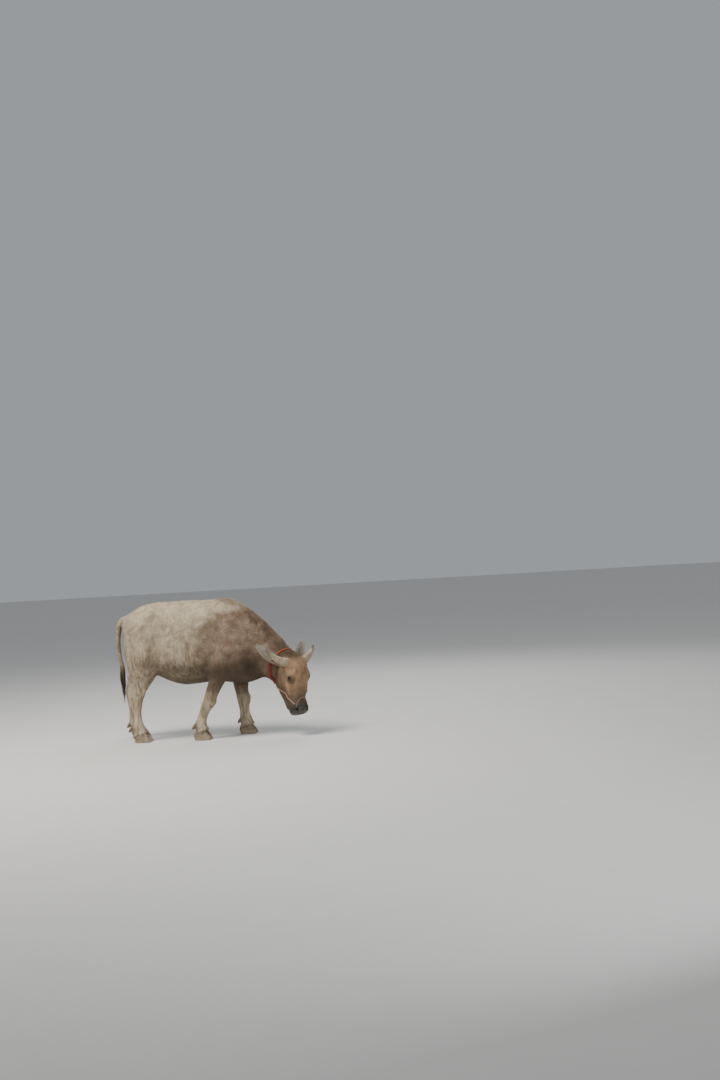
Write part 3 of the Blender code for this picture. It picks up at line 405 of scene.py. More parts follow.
def leg_line(name, z):
    """The x of a leg's middle at a height, in the drawing's frame."""
    joint_x, fetlock_x = LEG_X[name]
    slant = joint_x - fetlock_x
    if name.startswith("fore"):
        heights = (0.10, 0.262, 0.43)
        line = (fetlock_x, fetlock_x + slant * 0.37, fetlock_x + slant * 0.84)
    else:
        heights = (0.10, 0.28, 0.412, 0.53)
        line = (fetlock_x, fetlock_x - 0.012, fetlock_x + slant * 0.5 - 0.027, joint_x)
    return np.interp(z, heights, line)


HOCK_BACK = {"hind_right": -0.124, "hind_left": -0.186}
CORONET_TURNS = np.linspace(0, 2 * math.pi, 25)


def model_legs(points, facing):
    """Tendons, knee and hock bones, and the wrinkles of knee and pastern."""
    for name in LEG_X:
        y = side_of(name) * LEG_Y
        fore = name.startswith("fore")
        tendon_back, tendon_top = (0.012, 0.235) if fore else (0.020, 0.34)

        def at(forward, out, z, level=None):
            """A place on the leg: ahead of its middle, out from it, at a height."""
            middle_x = float(leg_line(name, z if level is None else level))
            return drawn(middle_x + forward, y + out, z)

        def wrinkle(z, edge, front, half, dip, width, depth, level=None):
            """A fold across the leg's front."""
            path = [at(edge, -half, z, level), at(front, 0, z - dip, level or z), at(edge, half, z, level)]
            crease(points, facing, path, width, depth)

        for way in (-1, 1):
            tendon = [at(-tendon_back, way * 0.046, z) for z in (tendon_top, 0.15)]
            swell(points, facing, tendon, 0.020, -0.0045)
            swell(points, facing, [at(-0.005, way * 0.045, 0.118, 0.12)], 0.030, 0.004)
        if fore:
            swell(points, facing, [at(0.050, 0, 0.290, 0.275)], 0.032, 0.005)
            swell(points, facing, [at(0.046, 0, 0.245)], 0.022, 0.003)
            for step in range(4):
                wrinkle(0.240 + 0.022 * step, 0.030, 0.055, 0.040, 0.004, 0.0045, 0.0016)
        else:
            back = HOCK_BACK[name]
            achilles = [drawn(back + 0.027, y, 0.452), drawn(back + 0.048, y, 0.510)]
            swell(points, facing, achilles, 0.038, 0.013)
            swell(points, facing, [drawn(back + 0.004, y, 0.424)], 0.020, -0.003)
            for way in (-1, 1):
                hollow = [at(-0.045, way * 0.045, 0.47, 0.45), at(-0.050, way * 0.043, 0.41, 0.40)]
                swell(points, facing, hollow, 0.024, -0.006)
            for step in range(3):
                wrinkle(0.375 + 0.024 * step, 0.040, 0.075, 0.040, 0.006, 0.0045, 0.0016)
        foot = foot_middle(name)
        ankle = [
            foot + Vector((math.cos(t) * 0.058, math.sin(t) * 0.050, 0.064 + 0.020 * math.cos(t)))
            for t in CORONET_TURNS
        ]
        swell(points, facing, ankle, 0.026, 0.0075)
        heel = [foot + Vector((-0.055, -0.030, 0.050)), foot + Vector((-0.060, 0.030, 0.050))]
        swell(points, facing, heel, 0.034, 0.0120)
        edge = 0.012 if fore else 0.016
        for step in range(3):
            wrinkle(0.100 + 0.014 * step, edge, edge + 0.050, 0.050, 0.006, 0.0040, 0.0014, 0.12)


# Head forms in the head's axes for the left side: path, radius, height
FACE_FORMS = (
    (
        ((0.118, 0.066, 0.088), (0.145, 0.076, 0.088), (0.175, 0.080, 0.083), (0.205, 0.078, 0.068)),
        0.022,
        0.0105,
    ),
    (((0.188, 0.098, 0.010), (0.230, 0.096, 0.008), (0.285, 0.086, 0.010)), 0.026, 0.0085),
    (((0.100, 0.105, -0.060), (0.170, 0.108, -0.095), (0.235, 0.095, -0.110)), 0.050, 0.0075),
    (((0.118, 0.106, 0.000), (0.150, 0.106, -0.014)), 0.028, -0.0055),
    (((0.110, 0.080, 0.060),), 0.026, -0.0045),
    (((0.218, 0.084, 0.050), (0.258, 0.072, 0.052), (0.300, 0.066, 0.046)), 0.022, -0.0070),
    (((0.255, 0.092, -0.045), (0.310, 0.078, -0.050)), 0.032, -0.0075),
    (((0.225, 0.045, 0.088), (0.290, 0.040, 0.074), (0.350, 0.036, 0.066)), 0.017, 0.0045),
    (((0.270, 0.000, 0.074), (0.350, 0.000, 0.062)), 0.020, -0.0025),
    (((0.310, 0.070, 0.026), (0.358, 0.066, 0.024)), 0.022, -0.0060),
    (((0.085, 0.066, 0.078),), 0.036, 0.0070),
    (((0.100, 0.020, 0.092), (0.150, 0.024, 0.096)), 0.032, 0.0045),
    (((0.150, 0.000, 0.092), (0.200, 0.000, 0.086)), 0.022, -0.0035),
    (((0.310, 0.060, -0.100), (0.390, 0.048, -0.085)), 0.022, 0.0050),
    (((0.060, 0.100, -0.105), (0.130, 0.105, -0.140), (0.200, 0.095, -0.160)), 0.024, 0.0060),
    (((0.400, 0.056, 0.036), (0.420, 0.050, 0.034)), 0.026, 0.0060),
    (((0.438, 0.000, 0.040), (0.452, 0.000, 0.005), (0.448, 0.000, -0.028)), 0.010, -0.0045),
    (((0.420, 0.014, 0.052),), 0.018, -0.0040),
    (
        ((0.375, 0.064, -0.016), (0.415, 0.056, -0.022), (0.438, 0.030, -0.026), (0.444, 0, -0.028)),
        0.015,
        0.0045,
    ),
    (((0.345, 0.070, -0.060), (0.385, 0.064, -0.066), (0.425, 0.045, -0.066)), 0.028, -0.0110),
    (((0.415, 0.000, -0.062),), 0.034, 0.0050),
)
FACE_CREASES = (
    (((0.146, 0.088, 0.066), (0.170, 0.092, 0.074), (0.198, 0.088, 0.066)), 0.0024, 0.0016),
    (((0.150, 0.098, 0.020), (0.172, 0.102, 0.016), (0.200, 0.098, 0.020)), 0.0024, 0.0015),
    (((0.158, 0.104, 0.006), (0.182, 0.106, 0.003), (0.212, 0.098, 0.010)), 0.0026, 0.0010),
    (((0.132, 0.096, 0.052), (0.150, 0.094, 0.054)), 0.0024, 0.0012),
    (((0.205, 0.092, 0.046), (0.222, 0.088, 0.044)), 0.0022, 0.0011),
    (((0.338, 0.074, -0.010), (0.350, 0.076, -0.035), (0.345, 0.074, -0.060)), 0.0030, 0.0014),
    (((0.322, 0.078, -0.012), (0.330, 0.080, -0.036), (0.325, 0.078, -0.060)), 0.0030, 0.0011),
    (((0.070, 0.104, -0.070), (0.060, 0.100, -0.120)), 0.0060, 0.0026),
    (((0.040, 0.100, -0.050), (0.030, 0.098, -0.110)), 0.0065, 0.0026),
    (((0.216, 0.070, 0.068), (0.240, 0.078, 0.044), (0.252, 0.084, 0.020)), 0.0028, 0.0012),
    (((0.228, 0.064, 0.070), (0.254, 0.072, 0.046), (0.266, 0.080, 0.022)), 0.0028, 0.0010),
    (((0.128, 0.064, 0.094), (0.120, 0.078, 0.076), (0.122, 0.090, 0.052)), 0.0028, 0.0012),
    (((0.132, 0.098, 0.030), (0.140, 0.104, 0.008), (0.160, 0.108, -0.006)), 0.0030, 0.0011),
    (((0.382, 0.020, 0.066), (0.378, 0.045, 0.058)), 0.0030, 0.0012),
    (((0.370, 0.020, 0.067), (0.366, 0.047, 0.058)), 0.0030, 0.0009),
)
MOUTH_CORNER = 0.335
MOUTH_WIDTH = 0.0026
MOUTH_DEPTH = 0.0085
LIP_ROLL = 0.0016
NOSTRIL_PLACE = Vector((0.402, 0.045, 0.036))


def local_path(path, side):
    return [Vector((x, side * y, z)) for x, y, z in path]


def eye_axes(side):
    """The eye's own axes in the head: along the slit, up across it, and outwards."""
    out = Vector((0.10, side * 0.88, 0.46)).normalized()
    along = Vector((0.92, 0, 0.38))
    along = (along - out * along.dot(out)).normalized()
    across = out.cross(along) * (-side)
    return np.array((tuple(along), tuple(across), tuple(out)))


def mirrored(place, side):
    """A place of the left half of the head, or its mirror image, as an array."""
    return np.array((place.x, side * place.y, place.z))


def eye_place(side):
    return mirrored(EYE_PLACE, side)


def smooth_max(a, b, width):
    """The larger of two, with a soft change-over."""
    share = np.clip(0.5 + 0.5 * (a - b) / width, 0, 1)
    return b + (a - b) * share + width * share * (1 - share) * 0.5


def refine(obj, rule):
    """Cuts the faces where rule(points) holds into four."""
    bm = bmesh.new()
    bm.from_mesh(obj.data)
    chosen = rule(np.array([f.calc_center_median() for f in bm.faces]))
    edges = set()
    for face, take in zip(list(bm.faces), chosen):
        if take:
            edges.update(face.edges)
    bmesh.ops.subdivide_edges(bm, edges=list(edges), cuts=1, use_grid_fill=True, smooth=0.0)
    bmesh.ops.triangulate(bm, faces=[f for f in bm.faces if len(f.verts) > 4])
    bm.to_mesh(obj.data)
    bm.free()
    obj.data.update()


# The ear's rows: share of the length, half width, half angle of the cup in degrees
EAR_SHAPE = (
    (0.00, 0.015, 160),
    (0.15, 0.019, 148),
    (0.28, 0.028, 118),
    (0.43, 0.039, 86),
    (0.60, 0.043, 64),
    (0.78, 0.037, 50),
    (0.91, 0.025, 42),
    (1.00, 0.007, 34),
)
EAR_ROOT = Vector((0.092, 0.064, -0.032))
EAR_REACH = 0.282
EAR_THICKNESS = 0.0048
# How near its kept ear a place of the hide lies to count as ear, and how far out ears are looked for
EAR_SKIN = 0.0012
EAR_RANGE = 0.32
EAR_COLUMNS = 36
EAR_STEPS = 14
EAR_BOW = 0.020
EAR_DROOP = 0.012
EAR_RIPPLE = 0.0012
EAR_RIDGE = 0.0007


def ear_axes(side):
    """An ear's directions in the head: out along it, the way its cup opens, and across."""
    way = Vector((-0.76, side * 0.60, -0.30)).normalized()
    opens = Vector((0.10, side * 0.02, 1.0))
    opens = (opens - way * opens.dot(way)).normalized()
    return way, opens, way.cross(opens)


def ear(side):
    """A leaf-shaped ear with a rounded rim, rolled at its root and cupped to its tip."""
    way, opens, across = (np.array(v) for v in ear_axes(side))
    root = mirrored(EAR_ROOT, side)
    rows = catmull_rom(EAR_SHAPE, EAR_STEPS)
    share, half, cup = rows[:, 0], rows[:, 1], np.radians(rows[:, 2])
    radius = half / np.where(cup < math.pi / 2, np.sin(np.minimum(cup, math.pi / 2)), 1)
    centre = root + np.outer(share * EAR_REACH, way) + np.outer(-EAR_BOW * np.sin(math.pi * share), opens)
    centre[:, 0] += EAR_DROOP * share**2
    k = np.sin(np.linspace(-1, 1, EAR_COLUMNS + 1) * math.pi / 2)
    turn = cup[:, None] * k[None, :]
    ripple = EAR_RIPPLE * np.sin(share * 31 + 1)[:, None] * np.abs(k)[None, :] ** 3
    lift = radius[:, None] * (1 - np.cos(turn)) * 0.9 + ripple
    sideways = (radius[:, None] * np.sin(turn))[..., None]
    middle_sheet = centre[:, None, :] + across * sideways + opens * lift[..., None]
    outward = -across * np.sin(turn)[..., None] + opens * np.cos(turn)[..., None]
    thick = EAR_THICKNESS / 2 * np.sqrt(np.clip(1 - k**6, 0, 1))[None, :, None]
    thick = thick * (1 - 0.35 * share)[:, None, None]
    ridges = EAR_RIDGE * np.cos(k * 13)[None, :, None] * np.sin(math.pi * share)[:, None, None]
    front = middle_sheet + outward * (thick + ridges)
    back = middle_sheet - outward * thick
    bm = bmesh.new()
    made_rows = []
    for inner, outer in zip(front, back):
        loop = [*inner, *outer[-2:0:-1]]
        made_rows.append([bm.verts.new(HEAD @ Vector(p)) for p in loop])
    count = len(made_rows[0])
    for low, high in zip(made_rows, made_rows[1:]):
        for j in range(count):
            n = (j + 1) % count
            bm.faces.new((low[j], low[n], high[n], high[j]))
    bm.faces.new(made_rows[0][::-1])
    bm.faces.new(made_rows[-1])
    bmesh.ops.triangulate(bm, faces=[f for f in bm.faces if len(f.verts) > 4])
    return from_bmesh("ear", bm)


# Each side's ear, kept so that its own hide can be told from the neck's
EARS = {}


def joined(obj, other):
    """Joins the other closed surface to the object's."""
    change = obj.modifiers.new("joined", "BOOLEAN")
    change.operation = "UNION"
    change.object = other
    change.solver = "MANIFOLD"
    applied(obj)


def ear_root_share(points):
    """1 round the ears' roots on the skull."""
    local = head_points(points)
    found = np.zeros(len(points))
    for side in (-1, 1):
        start = mirrored(EAR_ROOT, side) + np.array(ear_axes(side)[0]) * 0.045
        found = np.maximum(found, 1 - ramp(np.linalg.norm(local - start, axis=1), 0.022, 0.040))
    return found


def near_features(points):
    """Where the skin needs its finest faces: round eyes, nostrils and mouth."""
    local = head_points(points)
    chosen = np.zeros(len(points), bool)
    for side in (-1, 1):
        chosen |= np.linalg.norm(local - eye_place(side), axis=1) < 0.036
        chosen |= np.linalg.norm(local - mirrored(NOSTRIL_PLACE, side), axis=1) < 0.034
    mouth = mouth_gap(local)
    return chosen | (np.abs(mouth) < 0.012) & (local[:, 0] > MOUTH_CORNER - 0.012)


def near_eyes(points):
    """Where the lids need still finer faces."""
    local = head_points(points)
    return np.minimum(*(np.linalg.norm(local - eye_place(side), axis=1) for side in (-1, 1))) < 0.027


def mouth_gap(local):
    """How far a point of the head lies over the line between the lips."""
    turn = np.arctan2(np.abs(local[:, 1]) / 0.066, (local[:, 0] - MOUTH_CORNER) / 0.100)
    return local[:, 2] + 0.030 + 0.012 * np.cos(np.clip(turn, 0, math.pi / 2))


def carve_face(points, facing):
    """Lids round the eyes, nostrils and the line of the mouth."""
    local = head_points(points)
    local_facing = facing @ np.array(HEAD_BACK)[:3, :3].T
    gap = mouth_gap(local)
    lips = ramp(local[:, 0], MOUTH_CORNER - 0.010, MOUTH_CORNER + 0.006) * (np.abs(gap) < 0.03)
    groove = -np.exp(-((gap / MOUTH_WIDTH) ** 2)) * MOUTH_DEPTH
    rolls = np.exp(-(((np.abs(gap) - 0.0085) / 0.0055) ** 2)) * LIP_ROLL
    local += local_facing * ((groove + rolls) * lips)[:, None]
    for side in (-1, 1):
        nostril(local, side)
        lids(local, side)
    forward = np.array(HEAD)
    return local @ forward[:3, :3].T + forward[:3, 3]


# The nostril's comma in its own plane
COMMA = ((-0.010, -0.0030, 0), (-0.001, -0.0050, 0), (0.008, -0.0015, 0), (0.015, 0.0070, 0))
NOSTRIL_DEPTH = 0.022
NOSTRIL_RIM = 0.0028
NOSTRIL_WING = 0.0022


def nostril(local, side):
    """A comma-shaped opening with a raised wing."""
    centre = mirrored(NOSTRIL_PLACE, side)
    out = np.array((0.42, side * 0.72, 0.55))
    out /= np.linalg.norm(out)
    along = np.array((-0.86, 0, 0.32))
    along = along - out * (along @ out)
    along /= np.linalg.norm(along)
    across = np.cross(out, along) * side
    near = np.linalg.norm(local - centre, axis=1) < 0.040
    q = local[near] - centre
    u, v = q @ along, q @ across
    away = away_from(np.column_stack((u, v, 0 * u)), COMMA)
    width = np.interp(u, (-0.012, -0.004, 0.015), (0.0090, 0.0092, 0.0036))
    edge = away - width
    hole = 1 - ramp(edge, -0.0035, 0.0005)
    rim = np.exp(-(((edge - 0.0045) / 0.0040) ** 2)) * NOSTRIL_RIM
    wing = np.exp(-(((edge - 0.0045) / 0.0055) ** 2)) * ramp(v, 0.0, 0.006) * NOSTRIL_WING
    inward = np.array((-0.55, -side * 0.62, -0.56))
    inward /= np.linalg.norm(inward)
    local[near] += inward * (hole * NOSTRIL_DEPTH)[:, None] + out * (rim + wing)[:, None]


# The lids' thickness, and the opening between them
LID = 0.0030
SLIT_HALF = 0.0178
SLIT_TOP = 0.0092
SLIT_LOW = 0.0078
# How far the hide behind the opening lies inside the eyeball, and where the lids' forms end
BEHIND_EYE = 0.0035
LID_FADE = (0.036, 0.044)


def slit_edge(u, v):
    """How far a place on the eye lies outside the opening between the lids."""
    share = np.clip(np.abs(u) / SLIT_HALF, 0, 1)
    top = SLIT_TOP * (1 - share**2.2) * (1 - 0.22 * u / SLIT_HALF)
    low = -SLIT_LOW * (1 - share**1.8) * (1 + 0.18 * u / SLIT_HALF)
    beyond = np.maximum(np.abs(u) - SLIT_HALF, 0)
    edge = np.maximum(v - top, low - v)
    return np.where(beyond > 0, np.hypot(beyond, np.maximum(edge, 0)), edge)


def lids(local, side):
    """Lids that lie on the eyeball, with their margins and folds, and the opening between them."""
    axes = eye_axes(side)
    centre = eye_place(side)
    near = np.linalg.norm(local - centre, axis=1) < LID_FADE[1]
    q = (local[near] - centre) @ axes.T
    u, v, w = q.T
    edge = slit_edge(u, v)
    round_part = np.clip((EYE_RADIUS + LID) ** 2 - u * u * 0.94 - v * v, 0, None) ** 0.5
    cover = smooth_max(w, round_part, 0.0050)
    margin = np.exp(-(((edge - 0.0016) / 0.0013) ** 2)) * 0.0007
    upper_fold = np.exp(-(((edge - 0.0062) / 0.0011) ** 2)) * ramp(v, 0.0, 0.005) * -0.0013
    lower_fold = np.exp(-(((edge - 0.0068) / 0.0014) ** 2)) * ramp(-v, 0.0, 0.004) * -0.0010
    second_fold = np.exp(-(((edge - 0.0105) / 0.0016) ** 2)) * -0.0007
    behind = np.clip(EYE_RADIUS**2 - u * u - v * v, 0, None) ** 0.5 - BEHIND_EYE
    inside = 1 - ramp(edge, -0.0009, 0.0004)
    w = (cover + margin + upper_fold + lower_fold + second_fold) * (1 - inside) + behind * inside
    fade = 1 - ramp(np.linalg.norm(q, axis=1), *LID_FADE)
    q[:, 2] += (w - q[:, 2]) * fade
    local[near] = q @ axes + centre


def make_skin():
    """The whole hide as one closed surface, from trunk and legs to lids, lips and ears."""
    skin = rough_skin()
    ease(skin, trunk_share, 45)
    ease(skin, face_share, 8)
    ease(skin, lambda points: 1 - np.maximum(trunk_share(points), face_share(points)), 7)
    skin.modifiers.new("finer", "SUBSURF").levels = 1
    applied(skin)
    points, facing = places(skin.data), normals(skin.data)
    model_trunk(points, facing)
    model_legs(points, facing)
    put(skin.data, points)
    refine(skin, lambda at: face_share(at) > 0.25)
    points, facing = places(skin.data), normals(skin.data)
    for side in (-1, 1):
        for path, radius, height in FACE_FORMS:
            swell(points, facing, [HEAD @ p for p in local_path(path, side)], radius, height)
        for path, width, depth in FACE_CREASES:
            crease(points, facing, [HEAD @ p for p in local_path(path, side)], width, depth)
    points -= facing * COAT_DEPTH
    put(skin.data, points)
    ease(skin, lambda at: 0.6 * face_share(at), 2)
    for side in (-1, 1):
        made = ear(side)
        corners = [v.co for v in made.data.vertices]
        EARS[side] = BVHTree.FromPolygons(corners, [p.vertices for p in made.data.polygons])
        joined(skin, made)
        drop(made)
    ease(skin, ear_root_share, 14)
    refine(skin, near_features)
    refine(skin, near_eyes)
    put(skin.data, carve_face(places(skin.data), normals(skin.data)))
    skin.data.shade_smooth()
    return skin


# Tubes, horns, claws


# The power of a round section: a larger one is squarer
ROUND = 2.0


def ring(centre, across, out, half, depth, power, sides):
    """Points of a rounded section, in order."""
    turn = np.linspace(0, 2 * math.pi, sides, endpoint=False)
    c, s = np.cos(turn), np.sin(turn)
    flat = np.sign(c) * np.abs(c) ** (2 / power) * half
    deep = np.sign(s) * np.abs(s) ** (2 / power) * depth
    return np.array(centre) + np.outer(flat, across) + np.outer(deep, out)


def loft_arrays(rings):
    """Points, quads and end triangles of a skin over rings, with a middle point at each end."""
    rings = np.array(rings)
    count, sides = rings.shape[:2]
    points = rings.reshape(-1, 3)
    i = np.arange(count - 1)[:, None] * sides
    j = np.arange(sides)[None, :]
    n = (j + 1) % sides
    faces = np.stack([i + j, i + n, i + sides + n, i + sides + j], -1).reshape(-1, 4)
    first, last = len(points), len(points) + 1
    points = np.vstack([points, rings[0].mean(0), rings[-1].mean(0)])
    top = (count - 1) * sides
    j, n = j[0], n[0]
    low = np.stack([np.full(sides, first), n, j], -1)
    high = np.stack([np.full(sides, last), top + j, top + n], -1)
    return points, faces, np.vstack([low, high])


def join_arrays(name, parts):
    """One mesh object from several lofts."""
    all_points, quads, tris, base = [], [], [], 0
    for points, four, three in parts:
        all_points.append(points)
        quads.append(four + base)
        tris.append(three + base)
        base += len(points)
    quads, tris = np.vstack(quads), np.vstack(tris)
    corners = np.concatenate([quads.ravel(), tris.ravel()])
    starts = np.concatenate([np.arange(len(quads)) * 4, len(quads) * 4 + np.arange(len(tris)) * 3])
    mesh = mesh_from_arrays(name, np.vstack(all_points), corners, starts)
    mesh.validate()
    mesh.shade_smooth()
    return link(name, mesh)


def path_frames(path):
    """Directions along a path, and two steady directions across it."""
    path = np.array(path, float)
    ahead = np.gradient(path, axis=0)
    ahead /= np.linalg.norm(ahead, axis=1)[:, None]
    side = np.cross(ahead[0], (0.0, 0.0, 1.0))
    if np.linalg.norm(side) < 0.1:
        side = np.cross(ahead[0], (0.0, 1.0, 0.0))
    sides = []
    for a in ahead:
        side = side - a * (side @ a)
        side = side / np.linalg.norm(side)
        sides.append(side)
    sides = np.array(sides)
    return path, ahead, sides, np.cross(ahead, sides)


def tube(path, radii, sides=8, flat=1.0):
    """A round or flattened skin round a path."""
    path, _, across, out = path_frames(path)
    radii = np.broadcast_to(radii, len(path))
    stations = zip(path, across, out, radii)
    return loft_arrays([ring(c, a, o, r, r * flat, ROUND, sides) for c, a, o, r in stations])


def even_path(points, spacing):
    """A smooth path through the points, cut into even steps."""
    dense = catmull_rom([tuple(p) for p in points], 12)
    runs = np.concatenate([[0], np.cumsum(np.linalg.norm(np.diff(dense, axis=0), axis=1))])
    marks = np.linspace(0, runs[-1], max(int(runs[-1] / spacing), 4) + 1)
    return np.stack([np.interp(marks, runs, dense[:, i]) for i in range(3)], 1)


HORN_ROOT = Vector((0.052, 0.084, 0.028))
HORN_REACH = 0.200
HORN_RADIUS = 0.033
HORN_FLATNESS = 0.84
HORN_STEPS = 150
HORN_SIDES = 56
HORN_TURN = np.linspace(0, 2 * math.pi, HORN_SIDES, endpoint=False)


def horn(side):
    """A short young horn with growth rings near its root and a smoother tip."""
    place = mirrored(HORN_ROOT, side)
    rotate = np.array(HEAD_AXES)
    rings = []
    for i in range(HORN_STEPS + 1):
        share = i / HORN_STEPS
        rise = math.radians(16 + 42 * share)
        ahead = np.array((-math.sin(rise), side * math.cos(rise), -0.17))
        ahead /= np.linalg.norm(ahead)
        flat = np.array((math.cos(rise), side * math.sin(rise), 0))
        edge = np.cross(ahead, flat)
        radius = HORN_RADIUS * (1 - share) ** 0.62 * (1 - 0.12 * share) + 0.0035 * (share < 1)
        wave = 0.5 + 0.5 * math.sin(share * 150 + 2.2 * math.sin(share * 23))
        root = 1 - ramp(np.array(share), 0.42, 0.72)
        radius = radius * (0.985 - 0.060 * (wave**3) * root) - 0.0003
        section = ring(place, flat, edge, radius, radius * HORN_FLATNESS, 2.2, HORN_SIDES)
        furrow = 0.0005 * np.sin(HORN_TURN * 9 + share * 5) + 0.0003 * np.sin(HORN_TURN * 23 + 1)
        section += (section - place) / max(radius, 0.002) * (furrow * root)[:, None]
        rings.append(section @ rotate.T + np.array(HEAD.translation))
        place = place + ahead * (HORN_REACH / HORN_STEPS)
    return join_arrays("horn", [loft_arrays(rings)])


HOOF_LENGTH = 0.128
# A claw's level sections: z, forward, share of the sole's length, half width
CLAW = (
    (0.000, 0.008, 0.985, 0.0268),
    (0.003, 0.008, 1.000, 0.0276),
    (0.012, 0.008, 1.010, 0.0280),
    (0.040, 0.001, 0.940, 0.0270),
    (0.070, -0.008, 0.845, 0.0255),
    (0.100, -0.017, 0.750, 0.0240),
)
CLAW_SIDES = 52
CLAW_TURN = np.linspace(0, 2 * math.pi, CLAW_SIDES, endpoint=False)
CLAW_GROWTH = 0.0007
CLAW_CHIPS = 0.0016
CLAW_SPREAD = 0.0288
CLAW_SPLAY = math.radians(4)
# A claw's height at its heel and its toe, the run between them, and the height of its sections above
CLAW_HEEL = 0.040
CLAW_TOE = 0.080
CLAW_RUN = 0.130
CLAW_HEIGHT = 0.100
FOOT_Y = 0.142
FOOT_FORWARD = {"fore": 0.014, "hind": 0.038}


def foot_middle(name):
    """The place on the floor between a foot's two claws."""
    x = LEG_X[name][1] + FOOT_FORWARD[name[:4]]
    return drawn(x, side_of(name) * FOOT_Y, 0)


def claw(name, way):
    """One of a foot's two claws: a worn toe, growth rings and a chipped lower edge."""
    origin = foot_middle(name)
    turn = Matrix.Rotation(way * CLAW_SPLAY, 3, "Z")
    across, along = np.array(turn @ Vector((0, 1, 0))), np.array(turn @ Vector((1, 0, 0)))
    seed = DRAW.uniform(0, 6, 4)
    rings = []
    for z, forward, share, half in catmull_rom(CLAW, 10):
        centre = np.array(origin + turn @ Vector((forward, way * CLAW_SPREAD, 0))) + np.array((0, 0, z))
        reach = share * HOOF_LENGTH / 2
        section = ring(centre, across, along, half - 0.0004, reach - 0.0006, 2.35, CLAW_SIDES)
        toe_high = 0.030 * (0.5 + 0.5 * np.sin(CLAW_TURN))
        wander = seed[0] + 0.8 * np.sin(CLAW_TURN * 2 + seed[1])
        growth = CLAW_GROWTH * np.sin((z + 0.25 * toe_high) * 520 + wander)
        growth = growth * ramp(np.array(z), 0.006, 0.022)
        broken = np.sin(CLAW_TURN * 7 + seed[2]) * np.sin(CLAW_TURN * 3 + seed[3])
        chips = CLAW_CHIPS * np.clip(broken, 0, 1) * (1 - ramp(np.array(z), 0.0, 0.012))
        outward = (section - centre) / np.linalg.norm(section - centre, axis=1)[:, None]
        section += outward * (growth - chips)[:, None]
        section[:, 2] = z
        rings.append(section)
    rings = np.array(rings)
    back_x = origin.x - CLAW_RUN / 2
    top = CLAW_HEEL + (rings[..., 0] - back_x) / CLAW_RUN * (CLAW_TOE - CLAW_HEEL) + 0.004
    lift = rings[..., 2] / CLAW_HEIGHT
    rings[..., 2] = np.where(rings[..., 2] > 0, lift * np.clip(top, 0.03, 0.1), 0)
    dome = rings[-1].mean(0) + np.array((0, 0, 0.003))
    caps = [rings[-1] * (1 - s) + dome * s for s in (0.15, 0.5, 0.8)]
    caps = [c + np.array((0, 0, 0.003 * s)) for c, s in zip(caps, (0.6, 1.0, 1.0))]
    sole = rings[0].mean(0)
    under = [rings[0] * (1 - s) + sole * s for s in (0.75, 0.35, 0.12)]
    under = [u + np.array((0, 0, 0.0014 * s)) for u, s in zip(under, (1.0, 0.8, 0.0))]
    return join_arrays("claw", [loft_arrays([*under, *rings, *caps])])


# A dewclaw's sections: share of its length, radius
DEWCLAW = ((0, 0.0110), (0.3, 0.0132), (0.65, 0.0127), (0.85, 0.0100), (0.95, 0.0070), (1, 0.0035))


def dewclaw(name, way):
    """One of the two small claws behind a fetlock."""
    side = side_of(name)
    back_x = LEG_X[name][1] - (0.049 if name.startswith("fore") else 0.054)
    start = np.array(drawn(back_x + 0.014, side * FOOT_Y + way * 0.021, 0.122))
    end = np.array(drawn(back_x - 0.012, side * FOOT_Y + way * 0.025, 0.082))
    down = (end - start) / np.linalg.norm(end - start)
    across = np.array((0.0, 1.0, 0.0))
    back = np.cross(down, across)
    rings = []
    for share, radius in catmull_rom(DEWCLAW, 8):
        share = min(share, 1.0)
        radius = radius * (0.965 + 0.030 * math.sin(share * 40))
        rings.append(ring(start + (end - start) * share, across, back, radius, radius * 0.85, ROUND, 28))
    return join_arrays("dewclaw", [loft_arrays(rings)])


# Eyes


def eye(side):
    """An eyeball that bulges a little over its iris."""
    axes = eye_axes(side)
    centre = eye_place(side)
    rings = []
    for angle in np.linspace(0.02, math.pi - 0.02, 40):
        radius = EYE_RADIUS - 0.0004
        bulge = 0.0011 * math.exp(-((angle / 0.55) ** 2))
        r = (radius + bulge) * math.sin(angle)
        z = (radius + bulge) * math.cos(angle)
        section = ring((0, 0, z), (1, 0, 0), (0, 1, 0), r, r, ROUND, 48)
        rings.append((section @ axes + centre) @ np.array(HEAD_AXES).T + np.array(HEAD.translation))
    return join_arrays("eye", [loft_arrays(rings)])


TAIL_END = (-0.186, 0.0, 0.595)
SWITCH_STRANDS = 120
SWITCH_LOCKS = 14
# The switch's core, from the tail's end: x, depth below it, then share of its length and its radius
CORE = ((0, 0), (0.004, 0.05), (0.008, 0.10), (0.010, 0.14))
CORE_RADII = ((0, 0.4, 1), (0.0135, 0.0125, 0.003))


